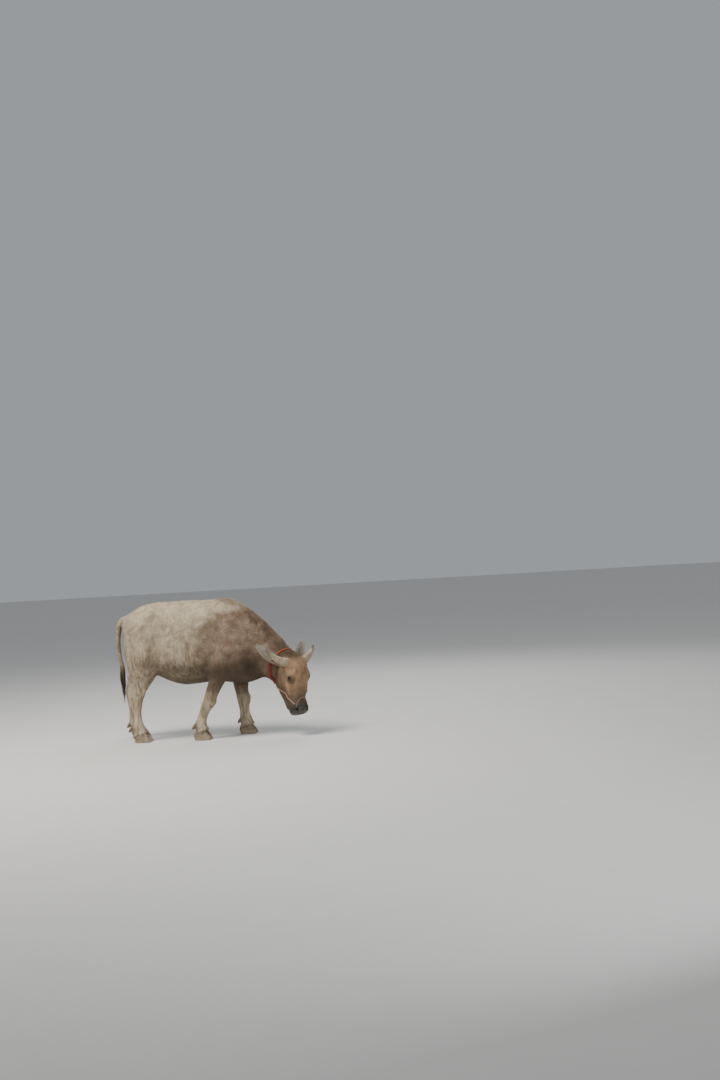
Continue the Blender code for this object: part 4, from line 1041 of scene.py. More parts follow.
def tail_switch():
    """The dark hairs at the tail's end: many thin tapered strands that cling together in locks."""
    top = np.array(drawn(*TAIL_END)) + np.array((0.001, 0, 0.018))
    core = even_path([top + np.array((x, 0, -z)) for x, z in CORE], 0.01)
    parts = [tube(core, np.interp(np.linspace(0, 1, len(core)), *CORE_RADII), 14)]
    locks = DRAW.uniform(0, 2 * math.pi, SWITCH_LOCKS)
    for i in range(SWITCH_STRANDS):
        around = locks[i % len(locks)] + DRAW.normal(0, 0.14)
        out = np.array((math.cos(around), math.sin(around), 0))
        length = (0.17 + 0.10 * math.sin(i % len(locks) * 1.7) ** 2) * DRAW.uniform(0.75, 1.06)
        start = top + out * DRAW.uniform(0.0095, 0.0135) + np.array((0, 0, -DRAW.uniform(0, 0.075)))
        share = np.linspace(0, 1, 9)[:, None]
        spread = out * 0.0085 * np.sin(math.pi * np.minimum(share * 1.2, 1)) - out * 0.006 * share
        wave = np.array((0.003, 0.004, 0)) * np.sin(3.1 * share + DRAW.uniform(0, 6)) * share
        sway = np.array((0.012, 0, 0)) * share - np.array((0.008, 0, 0)) * share**2
        path = start + spread + wave + sway + np.array((0, 0, -1.0)) * length * share
        width = DRAW.uniform(0.0016, 0.0034) * (1 - share[:, 0] ** 1.6) + 0.0002
        parts.append(tube(path, width, 5, 0.6))
    return join_arrays("tail_switch", parts)


# The halter's way on the head's right side, in the head's axes, from the nostril to the nape
HALTER_WAY = (
    (0.368, 0.070, 0.030),
    (0.335, 0.082, -0.002),
    (0.290, 0.088, -0.045),
    (0.240, 0.098, -0.092),
    (0.180, 0.108, -0.128),
    (0.120, 0.115, -0.138),
    (0.060, 0.115, -0.124),
    (0.010, 0.105, -0.098),
    (-0.030, 0.075, -0.070),
    (-0.045, 0.035, -0.040),
    (-0.050, 0.000, -0.030),
)
NOSE_CORD_WAY = (
    (0.376, 0.064, 0.042),
    (0.358, 0.060, 0.052),
    (0.338, 0.042, 0.070),
    (0.330, 0.000, 0.080),
)
ROPE_RADIUS = 0.0042
YARN_RADIUS = 0.0095
BEAD_RADIUS = 0.0075
NOSE_CORD_RADIUS = 0.0022
YARN_LOOPS = 360
YARN_THICKNESS = 0.0012
# Shares of the halter's length where rope, bead, yarn and nape band meet, right side first
HALTER_MARKS = (0, 0.185, 0.205, 0.385, 0.615, 0.795, 0.815, 1)


def both_sides(way):
    """A way on the head's right side and its mirror image, as one path."""
    right = [on_head(x, -y, z) for x, y, z in way]
    left = [on_head(x, y, z) for x, y, z in way[:-1]]
    return right + left[::-1]


def draped(points, surface, clear, eases=3):
    """A path laid on the hide: each point stands clear of its nearest place, and kinks are eased."""
    laid = [Vector(p) for p in points]
    for turn in range(eases + 1):
        if turn:
            inner = [(a + b + c) / 3 for a, b, c in zip(laid, laid[1:], laid[2:])]
            laid = [laid[0], *inner, laid[-1]]
        laid = [surface.find_nearest(p)[0] + surface.find_nearest(p)[1] * clear for p in laid]
    return np.array([tuple(p) for p in laid])


def twisted(path, radius, strands=3, lay=0.016, sides=8):
    """A laid rope: strands that wind round each other."""
    runs = np.concatenate([[0], np.cumsum(np.linalg.norm(np.diff(path, axis=0), axis=1))])
    marks = np.linspace(0, runs[-1], max(int(runs[-1] / (lay / 12)), 8))
    path = np.stack([np.interp(marks, runs, path[:, i]) for i in range(3)], 1)
    path, _, across, out = path_frames(path)
    parts = []
    for strand in range(strands):
        turn = 2 * math.pi * (marks / lay + strand / strands)
        away = radius * 0.50
        centre = path + across * (np.cos(turn) * away)[:, None] + out * (np.sin(turn) * away)[:, None]
        parts.append(tube(centre, radius * 0.54, sides))
    return parts


def yarn_tufts(path, radius, count):
    """Short loops of yarn that stand out round a cord and lie over one another."""
    path, ahead, across, out = path_frames(path)
    parts = []
    for _ in range(count):
        at = DRAW.integers(0, len(path))
        turn = DRAW.uniform(0, 2 * math.pi)
        away = across[at] * math.cos(turn) + out[at] * math.sin(turn)
        lean = ahead[at] * DRAW.uniform(-0.6, 0.6)
        fluffy = 0.55 + 0.45 * abs(math.sin(at / len(path) * math.pi * 5))
        reach = radius * DRAW.uniform(1.0, 2.1) * fluffy
        share = np.linspace(0, 1, 6)[:, None]
        bow = (away * np.sin(share * math.pi * 0.75) + lean * share) * reach
        droop = np.array((0, 0, -1.0)) * share**2 * radius * 0.35
        strand = path[at] + bow + droop
        parts.append(tube(strand, YARN_THICKNESS * (1 - 0.35 * share[:, 0]), 4))
    return parts


def halter(skin):
    """The worn halter: rope at the nostrils, beads, red yarn on the cheeks and a band round the nape."""
    ears = zone_values(skin.data, "ear")
    under = [tuple(p.vertices) for p in skin.data.polygons if ears[p.vertices[0]] < 0.3]
    surface = BVHTree.FromPolygons([v.co for v in skin.data.vertices], under)
    route = draped(even_path(both_sides(HALTER_WAY), 0.012), surface, ROPE_RADIUS, 6)
    route = even_path(route, 0.004)
    count = len(route)
    marks = [int(round(mark * (count - 1))) for mark in HALTER_MARKS]
    spans = [route[a : b + 1] for a, b in zip(marks, marks[1:])]
    made = {}
    for name, span in (("halter_rope_right", spans[0]), ("halter_rope_left", spans[6])):
        made[name] = join_arrays(name, twisted(span, ROPE_RADIUS))
    for name, span in (("halter_yarn_right", spans[2]), ("halter_yarn_left", spans[4])):
        high = draped(span, surface, YARN_RADIUS * 0.55, 1)
        parts = [tube(high, YARN_RADIUS * 0.45, 12)] + yarn_tufts(high, YARN_RADIUS, YARN_LOOPS)
        made[name] = join_arrays(name, parts)
    made["halter_nape"] = join_arrays("halter_nape", twisted(spans[3], ROPE_RADIUS * 1.5, 4, 0.022))
    for name, span in (("bead_right", spans[1]), ("bead_left", spans[5])):
        place = draped(span[len(span) // 2 : len(span) // 2 + 1], surface, BEAD_RADIUS, 0)[0]
        way = span[-1] - span[0]
        made[name] = bead(name, place, way / np.linalg.norm(way))
    cord_way = draped(even_path(both_sides(NOSE_CORD_WAY), 0.010), surface, NOSE_CORD_RADIUS, 3)
    cord = twisted(even_path(cord_way, 0.004), NOSE_CORD_RADIUS, 2, 0.009, 7)
    made["nose_cord"] = join_arrays("nose_cord", cord)
    return made


def bead(name, place, way):
    """A turned bead with a hole through it."""
    _, _, across, out = path_frames(np.array([place, place + way * 0.001]))
    turns = np.linspace(0.35, math.pi - 0.35, 22)
    profile = [(BEAD_RADIUS * math.sin(t), -BEAD_RADIUS * 0.86 * math.cos(t)) for t in turns]
    profile = [(0.0016, -0.0062), *profile, (0.0016, 0.0062)]
    rings = [ring(place + way * z, across[0], out[0], r, r, ROUND, 32) for r, z in profile]
    return join_arrays(name, [loft_arrays(rings)])


# Materials


def linear(red, green, blue):
    """A colour as seen on a screen, 0 to 255, turned into the renderer's own numbers."""
    return tuple((c / 255) ** 2.2 for c in (red, green, blue)) + (1.0,)


class Paint:
    """A material's nodes, written as expressions."""

    def __init__(self, name, roughness=0.7, specular=0.4):
        self.material = bpy.data.materials.new(name)
        self.material.use_nodes = True
        self.tree = self.material.node_tree
        self.shader = self.tree.nodes["Principled BSDF"]
        self.shader.inputs["Roughness"].default_value = roughness
        self.shader.inputs["Specular IOR Level"].default_value = specular
        self.where = self.add("ShaderNodeTexCoord").outputs["Object"]

    def add(self, kind, **settings):
        node = self.tree.nodes.new(kind)
        for key, value in settings.items():
            setattr(node, key, value)
        return node

    def feed(self, socket, value):
        if isinstance(value, bpy.types.NodeSocket):
            self.tree.links.new(value, socket)
        else:
            socket.default_value = value

    def scaled(self, size, place=None):
        """Coordinates stretched by size, so that larger numbers give finer detail."""
        node = self.add("ShaderNodeVectorMath", operation="MULTIPLY")
        self.feed(node.inputs[0], place or self.where)
        node.inputs[1].default_value = size
        return node.outputs[0]

    def noise(self, scale, detail=4.0, rough=0.55, place=None, twist=0.0):
        node = self.add("ShaderNodeTexNoise")
        self.feed(node.inputs["Vector"], place or self.where)
        node.inputs["Scale"].default_value = scale
        node.inputs["Detail"].default_value = detail
        node.inputs["Roughness"].default_value = rough
        node.inputs["Distortion"].default_value = twist
        return node.outputs["Fac"]

    def cells(self, scale, feature="F1", place=None):
        node = self.add("ShaderNodeTexVoronoi", feature=feature)
        self.feed(node.inputs["Vector"], place or self.where)
        node.inputs["Scale"].default_value = scale
        return node.outputs["Distance"]

    def math(self, how, a, b):
        node = self.add("ShaderNodeMath", operation=how)
        self.feed(node.inputs[0], a)
        self.feed(node.inputs[1], b)
        return node.outputs[0]

    def times(self, a, b):
        return self.math("MULTIPLY", a, b)

    def plus(self, a, b):
        return self.math("ADD", a, b)

    def ramp(self, value, start, end, low=0.0, high=1.0):
        node = self.add("ShaderNodeMapRange", interpolation_type="SMOOTHSTEP")
        self.feed(node.inputs["Value"], value)
        for key, number in (("From Min", start), ("From Max", end), ("To Min", low), ("To Max", high)):
            self.feed(node.inputs[key], number)
        return node.outputs["Result"]

    def mix(self, share, a, b, how="MIX"):
        node = self.add("ShaderNodeMix", data_type="RGBA", blend_type=how)
        self.feed(node.inputs["Factor"], share)
        self.feed(node.inputs["A"], a)
        self.feed(node.inputs["B"], b)
        return next(s for s in node.outputs if s.type == "RGBA")

    def height(self):
        """The height over the floor."""
        node = self.add("ShaderNodeSeparateXYZ")
        self.feed(node.inputs[0], self.where)
        return node.outputs["Z"]

    def zone(self, name):
        return self.add("ShaderNodeAttribute", attribute_name=name).outputs["Fac"]

    def bump(self, height, strength, distance, under=None):
        node = self.add("ShaderNodeBump")
        self.feed(node.inputs["Height"], height)
        node.inputs["Strength"].default_value = strength
        node.inputs["Distance"].default_value = distance
        if under is not None:
            self.feed(node.inputs["Normal"], under)
        return node.outputs["Normal"]

    def finish(self, colour, normal=None, roughness=None):
        self.feed(self.shader.inputs["Base Color"], colour)
        if normal is not None:
            self.feed(self.shader.inputs["Normal"], normal)
        if roughness is not None:
            self.feed(self.shader.inputs["Roughness"], roughness)
        return self.material


# The hide's markings and painted shade, kept on every piece of hide and hair
ZONES = ("mud", "dark", "warm", "muzzle", "face", "ear_in", "ear", "deep")


def hide_colours(paint):
    """The hide's colour and painted shade from its zones and mud, the same for the skin and for the coat.
    """
    mud, dark, warm, muzzle, face, ear_in, ear, deep = (paint.zone(name) for name in ZONES)
    broad = paint.noise(5.0, 5.0, 0.6)
    patchy = paint.noise(16.0, 6.0, 0.62, twist=0.6)
    fine = paint.noise(70.0, 5.0, 0.65)
    streaks = paint.noise(1.0, 6.0, 0.6, paint.scaled((46.0, 46.0, 6.5)), 0.4)
    base = paint.mix(paint.ramp(broad, 0.35, 0.65), linear(92, 76, 62), linear(116, 96, 78))
    base = paint.mix(warm, base, paint.mix(patchy, linear(94, 70, 58), linear(124, 98, 82)))
    dry = paint.mix(paint.ramp(patchy, 0.30, 0.70), linear(170, 154, 129), linear(202, 188, 162))
    low = paint.ramp(paint.height(), 0.55, 0.90, 1.0, 0.25)
    run = paint.times(paint.ramp(streaks, 0.44, 0.64), low)
    dry = paint.mix(run, dry, linear(134, 116, 92))
    edge = paint.plus(paint.times(patchy, 0.62), paint.times(streaks, 0.38))
    ragged = paint.times(paint.math("SUBTRACT", edge, 0.5), 0.85)
    covered = paint.ramp(paint.plus(mud, ragged), 0.14, 0.84)
    colour = paint.mix(covered, base, dry)
    speckle = paint.plus(paint.noise(150.0, 3.0, 0.7), paint.times(broad, 0.30))
    flecks = paint.ramp(speckle, 0.74, 0.84)
    colour = paint.mix(paint.times(flecks, 0.5), colour, linear(200, 188, 168))
    grit = paint.ramp(fine, 0.36, 0.64, 0.0, 0.22)
    colour = paint.mix(grit, colour, linear(112, 94, 74))
    tan = paint.mix(paint.ramp(patchy, 0.3, 0.7), linear(148, 117, 88), linear(186, 152, 118))
    colour = paint.mix(paint.times(face, 0.75), colour, tan)
    # Painted shade, and the lid rims' own dark: the hide turns near black-brown where the dark zone lies.
    shade = paint.times(dark, paint.ramp(patchy, 0.25, 0.75, 0.72, 1.0))
    colour = paint.mix(shade, colour, paint.mix(fine, linear(33, 25, 19), linear(56, 44, 34)))
    # Painted shade in the hide's folds.
    colour = paint.mix(paint.times(deep, 0.60), colour, linear(50, 40, 33))
    back_of_ear = paint.mix(patchy, linear(128, 114, 98), linear(172, 160, 142))
    colour = paint.mix(paint.times(ear, 0.8), colour, back_of_ear)
    colour = paint.mix(ear_in, colour, paint.mix(patchy, linear(190, 180, 166), linear(222, 212, 198)))
    wet = paint.mix(paint.ramp(patchy, 0.35, 0.7), linear(46, 42, 39), linear(86, 79, 71))
    colour = paint.mix(muzzle, colour, wet)
    return colour, covered, muzzle, patchy, fine


def hide_material():
    paint = Paint("mud_dried_hide", 0.78, 0.35)
    colour, covered, muzzle, patchy, _ = hide_colours(paint)
    grain = paint.noise(1.0, 3.0, 0.6, paint.scaled((210.0, 640.0, 520.0)), 0.8)
    cracks = paint.cells(95.0, "DISTANCE_TO_EDGE")
    wrinkle = paint.cells(46.0, "DISTANCE_TO_EDGE", paint.scaled((1.0, 1.0, 0.45)))
    grain = paint.times(grain, paint.math("SUBTRACT", 1.0, muzzle))
    flakes = paint.times(paint.ramp(cracks, 0.0, 0.10), covered)
    normal = paint.bump(patchy, 0.35, 0.004)
    normal = paint.bump(paint.ramp(wrinkle, 0.0, 0.16), 0.16, 0.0016, normal)
    normal = paint.bump(flakes, 0.22, 0.0012, normal)
    normal = paint.bump(grain, 0.55, 0.0011, normal)
    pebbles = paint.times(paint.cells(230.0), muzzle)
    normal = paint.bump(pebbles, 0.35, 0.0012, normal)
    rough = paint.mix(muzzle, (0.80, 0.80, 0.80, 1), (0.34, 0.34, 0.34, 1))
    return paint.finish(colour, normal, rough)


def horn_material():
    paint = Paint("young_horn", 0.5, 0.45)
    ringed = paint.zone("rings")
    tip = paint.zone("tip")
    streaks = paint.noise(1.0, 5.0, 0.6, paint.scaled((60.0, 260.0, 160.0)))
    mottle = paint.noise(34.0, 5.0, 0.6)
    colour = paint.mix(paint.ramp(mottle, 0.3, 0.7), linear(138, 124, 99), linear(184, 168, 138))
    # Painted shade in the grooves between the rings.
    colour = paint.mix(paint.ramp(ringed, 0.35, 0.9), colour, linear(92, 84, 70))
    colour = paint.mix(paint.times(tip, 0.75), colour, linear(70, 64, 56))
    dust = paint.ramp(paint.noise(90.0, 4.0, 0.7), 0.55, 0.75)
    colour = paint.mix(paint.times(dust, 0.5), colour, linear(178, 166, 144))
    normal = paint.bump(streaks, 0.35, 0.0009)
    normal = paint.bump(mottle, 0.25, 0.0012, normal)
    return paint.finish(colour, normal, paint.ramp(mottle, 0.3, 0.7, 0.46, 0.66))


def hoof_material():
    paint = Paint("muddy_hoof", 0.7, 0.35)
    low = paint.zone("low")
    mottle = paint.noise(40.0, 6.0, 0.62)
    fine = paint.noise(180.0, 4.0, 0.6)
    down = paint.noise(1.0, 4.0, 0.6, paint.scaled((170.0, 170.0, 22.0)))
    colour = paint.mix(paint.ramp(down, 0.35, 0.65), linear(86, 77, 66), linear(116, 104, 88))
    mud = paint.ramp(paint.plus(mottle, paint.times(low, 0.20)), 0.36, 0.70)
    colour = paint.mix(paint.times(mud, 0.9), colour, linear(158, 142, 120))
    colour = paint.mix(paint.ramp(fine, 0.60, 0.72, 0.0, 0.4), colour, linear(60, 54, 48))
    normal = paint.bump(down, 0.35, 0.0010)
    normal = paint.bump(mottle, 0.45, 0.0022, normal)
    normal = paint.bump(fine, 0.30, 0.0006, normal)
    return paint.finish(colour, normal, paint.ramp(mottle, 0.3, 0.7, 0.6, 0.88))


def eye_material():
    """Brown iris, dark level pupil and a dull dark white, by place on the eyeball."""
    paint = Paint("wet_eye", 0.10, 0.4)
    iris, pupil = paint.zone("iris"), paint.zone("pupil")
    rays = paint.noise(420.0, 4.0, 0.6)
    white = paint.mix(paint.noise(160.0, 4.0, 0.6), linear(58, 42, 34), linear(96, 78, 66))
    brown = paint.mix(rays, linear(36, 20, 14), linear(66, 38, 24))
    colour = paint.mix(iris, white, brown)
    colour = paint.mix(pupil, colour, linear(8, 8, 12))
    paint.shader.inputs["Coat Weight"].default_value = 0.35
    paint.shader.inputs["Coat Roughness"].default_value = 0.03
    return paint.finish(colour, paint.bump(rays, 0.05, 0.0003))


def hair_material():
    paint = Paint("switch_hair", 0.55, 0.4)
    along = paint.noise(1.0, 4.0, 0.6, paint.scaled((220.0, 220.0, 14.0)))
    mottle = paint.noise(60.0, 4.0, 0.6)
    colour = paint.mix(paint.ramp(along, 0.3, 0.7), linear(40, 32, 28), linear(84, 68, 56))
    colour = paint.mix(paint.ramp(mottle, 0.58, 0.72, 0.0, 0.6), colour, linear(134, 116, 96))
    colour = paint.mix(paint.ramp(paint.height(), 0.500, 0.590, 0.0, 0.85), colour, linear(140, 122, 98))
    return paint.finish(colour, paint.bump(along, 0.5, 0.0006))


def rope_material(name, one, two, dirt):
    paint = Paint(name, 0.85, 0.2)
    fibre = paint.noise(520.0, 3.0, 0.7)
    soil = paint.noise(55.0, 5.0, 0.6)
    colour = paint.mix(paint.ramp(fibre, 0.35, 0.65), one, two)
    colour = paint.mix(paint.ramp(soil, 0.50, 0.70, 0.0, 0.75), colour, dirt)
    paint.shader.inputs["Sheen Weight"].default_value = 0.3
    return paint.finish(colour, paint.bump(fibre, 0.6, 0.0007))


def bead_material():
    paint = Paint("glazed_bead", 0.22, 0.5)
    mottle = paint.noise(190.0, 4.0, 0.6)
    soil = paint.noise(90.0, 5.0, 0.65)
    colour = paint.mix(paint.ramp(mottle, 0.35, 0.65), linear(206, 196, 176), linear(226, 218, 200))
    colour = paint.mix(paint.ramp(soil, 0.55, 0.72, 0.0, 0.7), colour, linear(140, 122, 98))
    return paint.finish(colour, paint.bump(soil, 0.25, 0.0005), paint.ramp(soil, 0.45, 0.70, 0.18, 0.55))


def keep_zone(obj, name, values):
    """Keeps a number from 0 to 1 at each of the object's points."""
    layer = obj.data.attributes.new(name, "FLOAT", "POINT")
    layer.data.foreach_set("value", np.clip(values, 0, 1).astype(np.float32))


# Zones of the hide


def near_spot(points, centre, radii):
    """1 at a place and 0 beyond an ellipsoid round it."""
    away = np.linalg.norm((points - np.array(centre)) / np.array(radii), axis=1)
    return 1 - ramp(away, 0.35, 1.0)


def ear_share(local):
    """Which of the head's points belong to an ear, and how far along it they are."""
    found, along = np.zeros(len(local)), np.zeros(len(local))
    for side in (-1, 1):
        q = local - mirrored(EAR_ROOT, side)
        reach = q @ np.array(ear_axes(side)[0])
        on = ramp(reach, 0.050, 0.072) * (np.linalg.norm(q, axis=1) < EAR_RANGE)
        for i in np.nonzero(on)[0]:
            away = EARS[side].find_nearest(HEAD @ Vector(local[i]), 0.02)[3]
            on[i] *= away is not None and away < EAR_SKIN
        found = np.maximum(found, on)
        along = np.where(on > 0, reach / EAR_REACH, along)
    return found, along


def hide_zones(world, facing):
    """How much of each marking and of the painted shade lies at each place of the hide, 0 to 1."""
    p = world - np.array(SHIFT)
    x, y, z = p.T
    up = facing[:, 2]
    local = head_points(world)
    local_facing = facing @ np.array(HEAD_BACK)[:3, :3].T
    wide = NOISE(world, 0.14) * 0.5 + NOISE(world, 0.05) * 0.3
    ears, ear_along = ear_share(local)
    head = face_share(world)
    face = head * (1 - ears)
    fore = ramp(x, 0.36, 0.44)
    legs = 1 - ramp(z + wide * 0.06, 0.40 - 0.16 * fore, 0.58 - 0.08 * fore)
    rear = 1 - ramp(x + wide * 0.20, 0.40, 0.74)
    crown = ramp(z + wide * 0.04, 0.88, 1.00)
    mud = np.maximum.reduce([rear * (0.62 + 0.30 * crown), legs * 0.80, 0.34 + 0.14 * wide, crown * 0.62])
    mud = np.where(face > 0.5, 0.20 + 0.2 * wide, mud)
    warm = ramp(x + wide * 0.10, 0.46, 0.74) * (1 - legs) * (1 - 0.7 * face)
    # The dark zone on the body is painted shade: the hollow of the flank, the armpits, the breast, brisket
    # and throat under the neck, the belly, every surface that faces down, the legs' inner sides and the
    # cleft round the tail's root. The fore knees get a faint darker band.
    level = p * (1, 0, 1)
    side_on = np.abs(y) > 0.09
    flank = near_spot(level, (0.135, 0, 0.590), (0.085, 1, 0.135)) * side_on
    axilla = near_spot(level, (0.575, 0, 0.530), (0.110, 1, 0.130)) * side_on
    breast = ramp(x + wide * 0.05, 0.56, 0.80) * (1 - ramp(z + wide * 0.04, 0.50, 0.74))
    breast = breast * ramp(z, 0.36, 0.47)
    brisket = near_spot(p, (0.870, -0.01, 0.540), (0.200, 0.32, 0.210))
    throat = near_spot(p, (1.020, -0.06, 0.480), (0.150, 0.22, 0.170))
    belly = (1 - ramp(z + wide * 0.03, 0.50, 0.66)) * ramp(x, 0.10, 0.20)
    belly = belly * (1 - legs * ramp(np.abs(y), 0.06, 0.1)) * (1 - ramp(x, 0.90, 1.0))
    under = ramp(-up, 0.35, 0.85) * ramp(z, 0.36, 0.45)
    inside = ramp(-facing[:, 1] * np.sign(y), 0.2, 0.7)
    inside = inside * (1 - ramp(z, 0.50, 0.60)) * ramp(z, 0.16, 0.34)
    rump = near_spot(p, (-0.130, 0.0, 0.780), (0.080, 0.060, 0.210))
    dark = np.maximum.reduce(
        [flank * 0.42, axilla * 0.50, breast * 0.80, brisket * 0.92, throat * 0.90, belly * 0.80]
        + [under * 0.85, inside * 0.22, rump * 0.8]
    )
    knees = near_spot(p * (0, 0, 1), (0, 0, 0.262), (1, 1, 0.05)) * ramp(x, 0.3, 0.4) * 0.20
    dark = np.maximum(dark, knees) * (1 - face) * (1 - ears)
    nose = ramp(local[:, 0] + 0.016 * wide, 0.338, 0.392) * ramp(local[:, 2], -0.046, -0.034)
    nose = nose * (1 - 0.9 * ramp(local[:, 2], 0.050, 0.062) * (1 - ramp(local[:, 0], 0.375, 0.41)))
    chin = ramp(local[:, 0], 0.340, 0.385) * (1 - ramp(local[:, 2], -0.052, -0.040)) * 0.45
    # Painted shade on the face: round each eye the shadowed hollow over its darker skin, the head's sides
    # and underside, and the nose bridge. The lid rims are their own dark.
    eyes, rims = np.zeros(len(p)), np.zeros(len(p))
    for side in (-1, 1):
        hollow = eye_place(side) + (0.006, 0, 0.004)
        away = np.linalg.norm((local - hollow) * (0.75, 1, 1), axis=1)
        eyes = np.maximum(eyes, 1 - ramp(away + 0.010 * wide, 0.017, 0.043))
        q = (local - eye_place(side)) @ eye_axes(side).T
        close = np.linalg.norm(q, axis=1) < 0.030
        rims = np.where(close, 1 - ramp(slit_edge(q[:, 0], q[:, 1]), 0.0010, 0.0034), rims)
    muzzle = np.maximum(nose, chin) * (face > 0.5)
    cheek = ramp(-local_facing[:, 2], -0.55, 0.25) * head * 0.45
    bridge = near_spot(local, (0.300, 0, 0.060), (0.11, 0.10, 0.07)) * 0.35
    dark = np.maximum.reduce([dark, eyes * 0.72, rims, cheek * (1 - ears), bridge * face])
    face = face * ramp(local[:, 2], -0.09, 0.01) * (1 - ramp(local[:, 0], 0.24, 0.35))
    inner = np.zeros(len(p))
    for side in (-1, 1):
        opens = np.array(ear_axes(side)[1])
        cupped = ramp(local_facing @ opens, 0.05, 0.35) * ears * (1 - 0.15 * ear_along)
        inner = np.where(local[:, 1] * side > 0, cupped, inner)
    inner = inner * ramp(ear_along, 0.25, 0.50)
    # Painted shade deep in each ear's cup, towards its root.
    hollow_ear = inner * (1 - ramp(ear_along, 0.45, 0.80)) * 0.55
    dark = np.maximum(dark, hollow_ear)
    inner = inner * (1 - hollow_ear)
    return dict(zip(ZONES, (mud * (1 - ears), dark, warm, muzzle, face, inner, ears)))


def cavity(mesh, rounds=3):
    """How deep each point lies in a fold, from its neighbours' places."""
    points, facing = places(mesh), normals(mesh)
    pairs = np.empty(len(mesh.edges) * 2, np.int32)
    mesh.edges.foreach_get("vertices", pairs)
    a, b = pairs.reshape(-1, 2).T
    count = np.bincount(a, minlength=len(points)) + np.bincount(b, minlength=len(points))
    soft = points
    for _ in range(rounds):
        total = np.zeros_like(points)
        for axis in range(3):
            for here, there in ((a, b), (b, a)):
                total[:, axis] += np.bincount(here, soft[there, axis], len(points))
        soft = total / count[:, None]
    depth = np.einsum("ij,ij->i", soft - points, facing)
    return ramp(depth, 0.00015, 0.0012)


# The coat: thin tapered tufts that lie along the body

# How the hair lies, region by region: count of tufts, length, half width, lift, rings
COAT = {
    "rump": (15000, 0.0125, 0.00050, 0.16, 2),
    "barrel": (17000, 0.0125, 0.00050, 0.16, 2),
    "shoulders": (15500, 0.0135, 0.00052, 0.17, 2),
    "neck": (15000, 0.0150, 0.00054, 0.19, 2),
    "head": (17500, 0.0085, 0.00038, 0.20, 2),
    "fore_legs": (10000, 0.0105, 0.00048, 0.16, 2),
    "hind_legs": (11000, 0.0105, 0.00048, 0.16, 2),
    "tail": (3200, 0.0150, 0.00048, 0.20, 3),
    "ears": (6500, 0.0145, 0.00036, 0.30, 3),
    "crest": (4800, 0.0270, 0.00055, 0.34, 3),
    "fetlocks": (4600, 0.0210, 0.00050, 0.22, 3),
}
REGION = {name: number for number, name in enumerate(COAT)}
LEG_TOP = 0.50
ATLAS_ROWS = 4
TUFT_PATCH = 0.003
TUFT_SUNK = 0.0006


def along_path(points, path):
    """Share of the way along a path of each point's nearest place, and the path's direction there."""
    path = np.array(path, float)
    runs = np.linalg.norm(np.diff(path, axis=0), axis=1)
    starts = np.concatenate([[0], np.cumsum(runs)])
    best = np.full(len(points), 1e9)
    share, way = np.zeros(len(points)), np.zeros((len(points), 3))
    for a, b, run, start in zip(path, path[1:], runs, starts):
        at = np.clip((points - a) @ (b - a) / run**2, 0, 1)
        away = np.linalg.norm(points - (a + at[:, None] * (b - a)), axis=1)
        nearer = away < best
        best[nearer] = away[nearer]
        share[nearer] = ((start + at * run) / starts[-1])[nearer]
        way[nearer] = (b - a) / run
    return share, way


TAIL_LINE = (
    (-0.085, 0, 0.955),
    (-0.172, 0, 0.920),
    (-0.203, 0, 0.800),
    (-0.203, 0, 0.700),
    (-0.186, 0, 0.595),
)


def regions(world, ears):
    """Each place's region of the coat, as a number in the order of COAT, without the crest and fetlocks."""
    x, y, z = (world - np.array(SHIFT)).T
    low = z < LEG_TOP
    region = np.full(len(world), REGION["barrel"])
    for name, where in (
        ("rump", x < 0.22),
        ("shoulders", x > 0.52),
        ("fore_legs", low & (x > 0.35) & (x < 0.86)),
        ("hind_legs", low & (x <= 0.35)),
        ("neck", (x + 0.45 * (0.75 - z) > 0.88) & (z > 0.38)),
        ("head", face_share(world) > 0.5),
        ("ears", ears > 0.5),
        ("tail", (x < -0.140) & (np.abs(y) < 0.045) & (z > 0.57) | (x < -0.172)),
    ):
        region[where] = REGION[name]
    return region


def lie(world, facing, region):
    """The way the hair lies: back and down the body, down the legs, out along the ears."""
    p = world - np.array(SHIFT)
    belly = ramp(-facing[:, 2], 0.3, 0.8)[:, None]
    top = ramp(facing[:, 2], 0.6, 0.95)[:, None]
    way = np.array((-0.80, 0.0, -0.55)) * (1 - belly) + np.array((-1.0, 0, 0)) * belly
    way = way * (1 - top) + np.array((-1.0, 0, 0)) * top
    on_neck = np.array((-0.62, 0.05, 0.10)) + np.array((0, 0, -0.45)) * (1 - top)
    way = np.where((region == REGION["neck"])[:, None], on_neck, way)
    is_leg = np.isin(region, (REGION["fore_legs"], REGION["hind_legs"]))[:, None]
    way = np.where(is_leg, np.array((-0.18, 0, -1.0)), way)
    local = head_points(world)
    split = ramp(local[:, 0], 0.13, 0.21)
    on_face = np.stack([split * 2 - 1, np.sign(local[:, 1]) * 0.45, -0.35 * np.ones(len(p))], 1)
    on_face = on_face @ np.array(HEAD_AXES).T
    way = np.where((region == REGION["head"])[:, None], on_face, way)
    for side in (-1, 1):
        out, _, across = (np.array(v) for v in ear_axes(side))
        over = (local - mirrored(EAR_ROOT, side)) @ across
        spread = across * np.clip(over / 0.030, -1, 1)[:, None] * 0.75
        ear_way = (out + spread) @ np.array(HEAD_AXES).T
        mine = (region == REGION["ears"]) & (local[:, 1] * side > 0)
        way = np.where(mine[:, None], ear_way, way)
    _, tail_way = along_path(p, TAIL_LINE)
    way = np.where((region == REGION["tail"])[:, None], tail_way, way)
    swirl = np.stack([NOISE(world + apart, 0.06) for apart in (0, 3.1, 7.7)], 1)
    way = way + 0.35 * swirl
    way = way - facing * np.einsum("ij,ij->i", way, facing)[:, None]
    return way / np.maximum(np.linalg.norm(way, axis=1), 1e-9)[:, None]


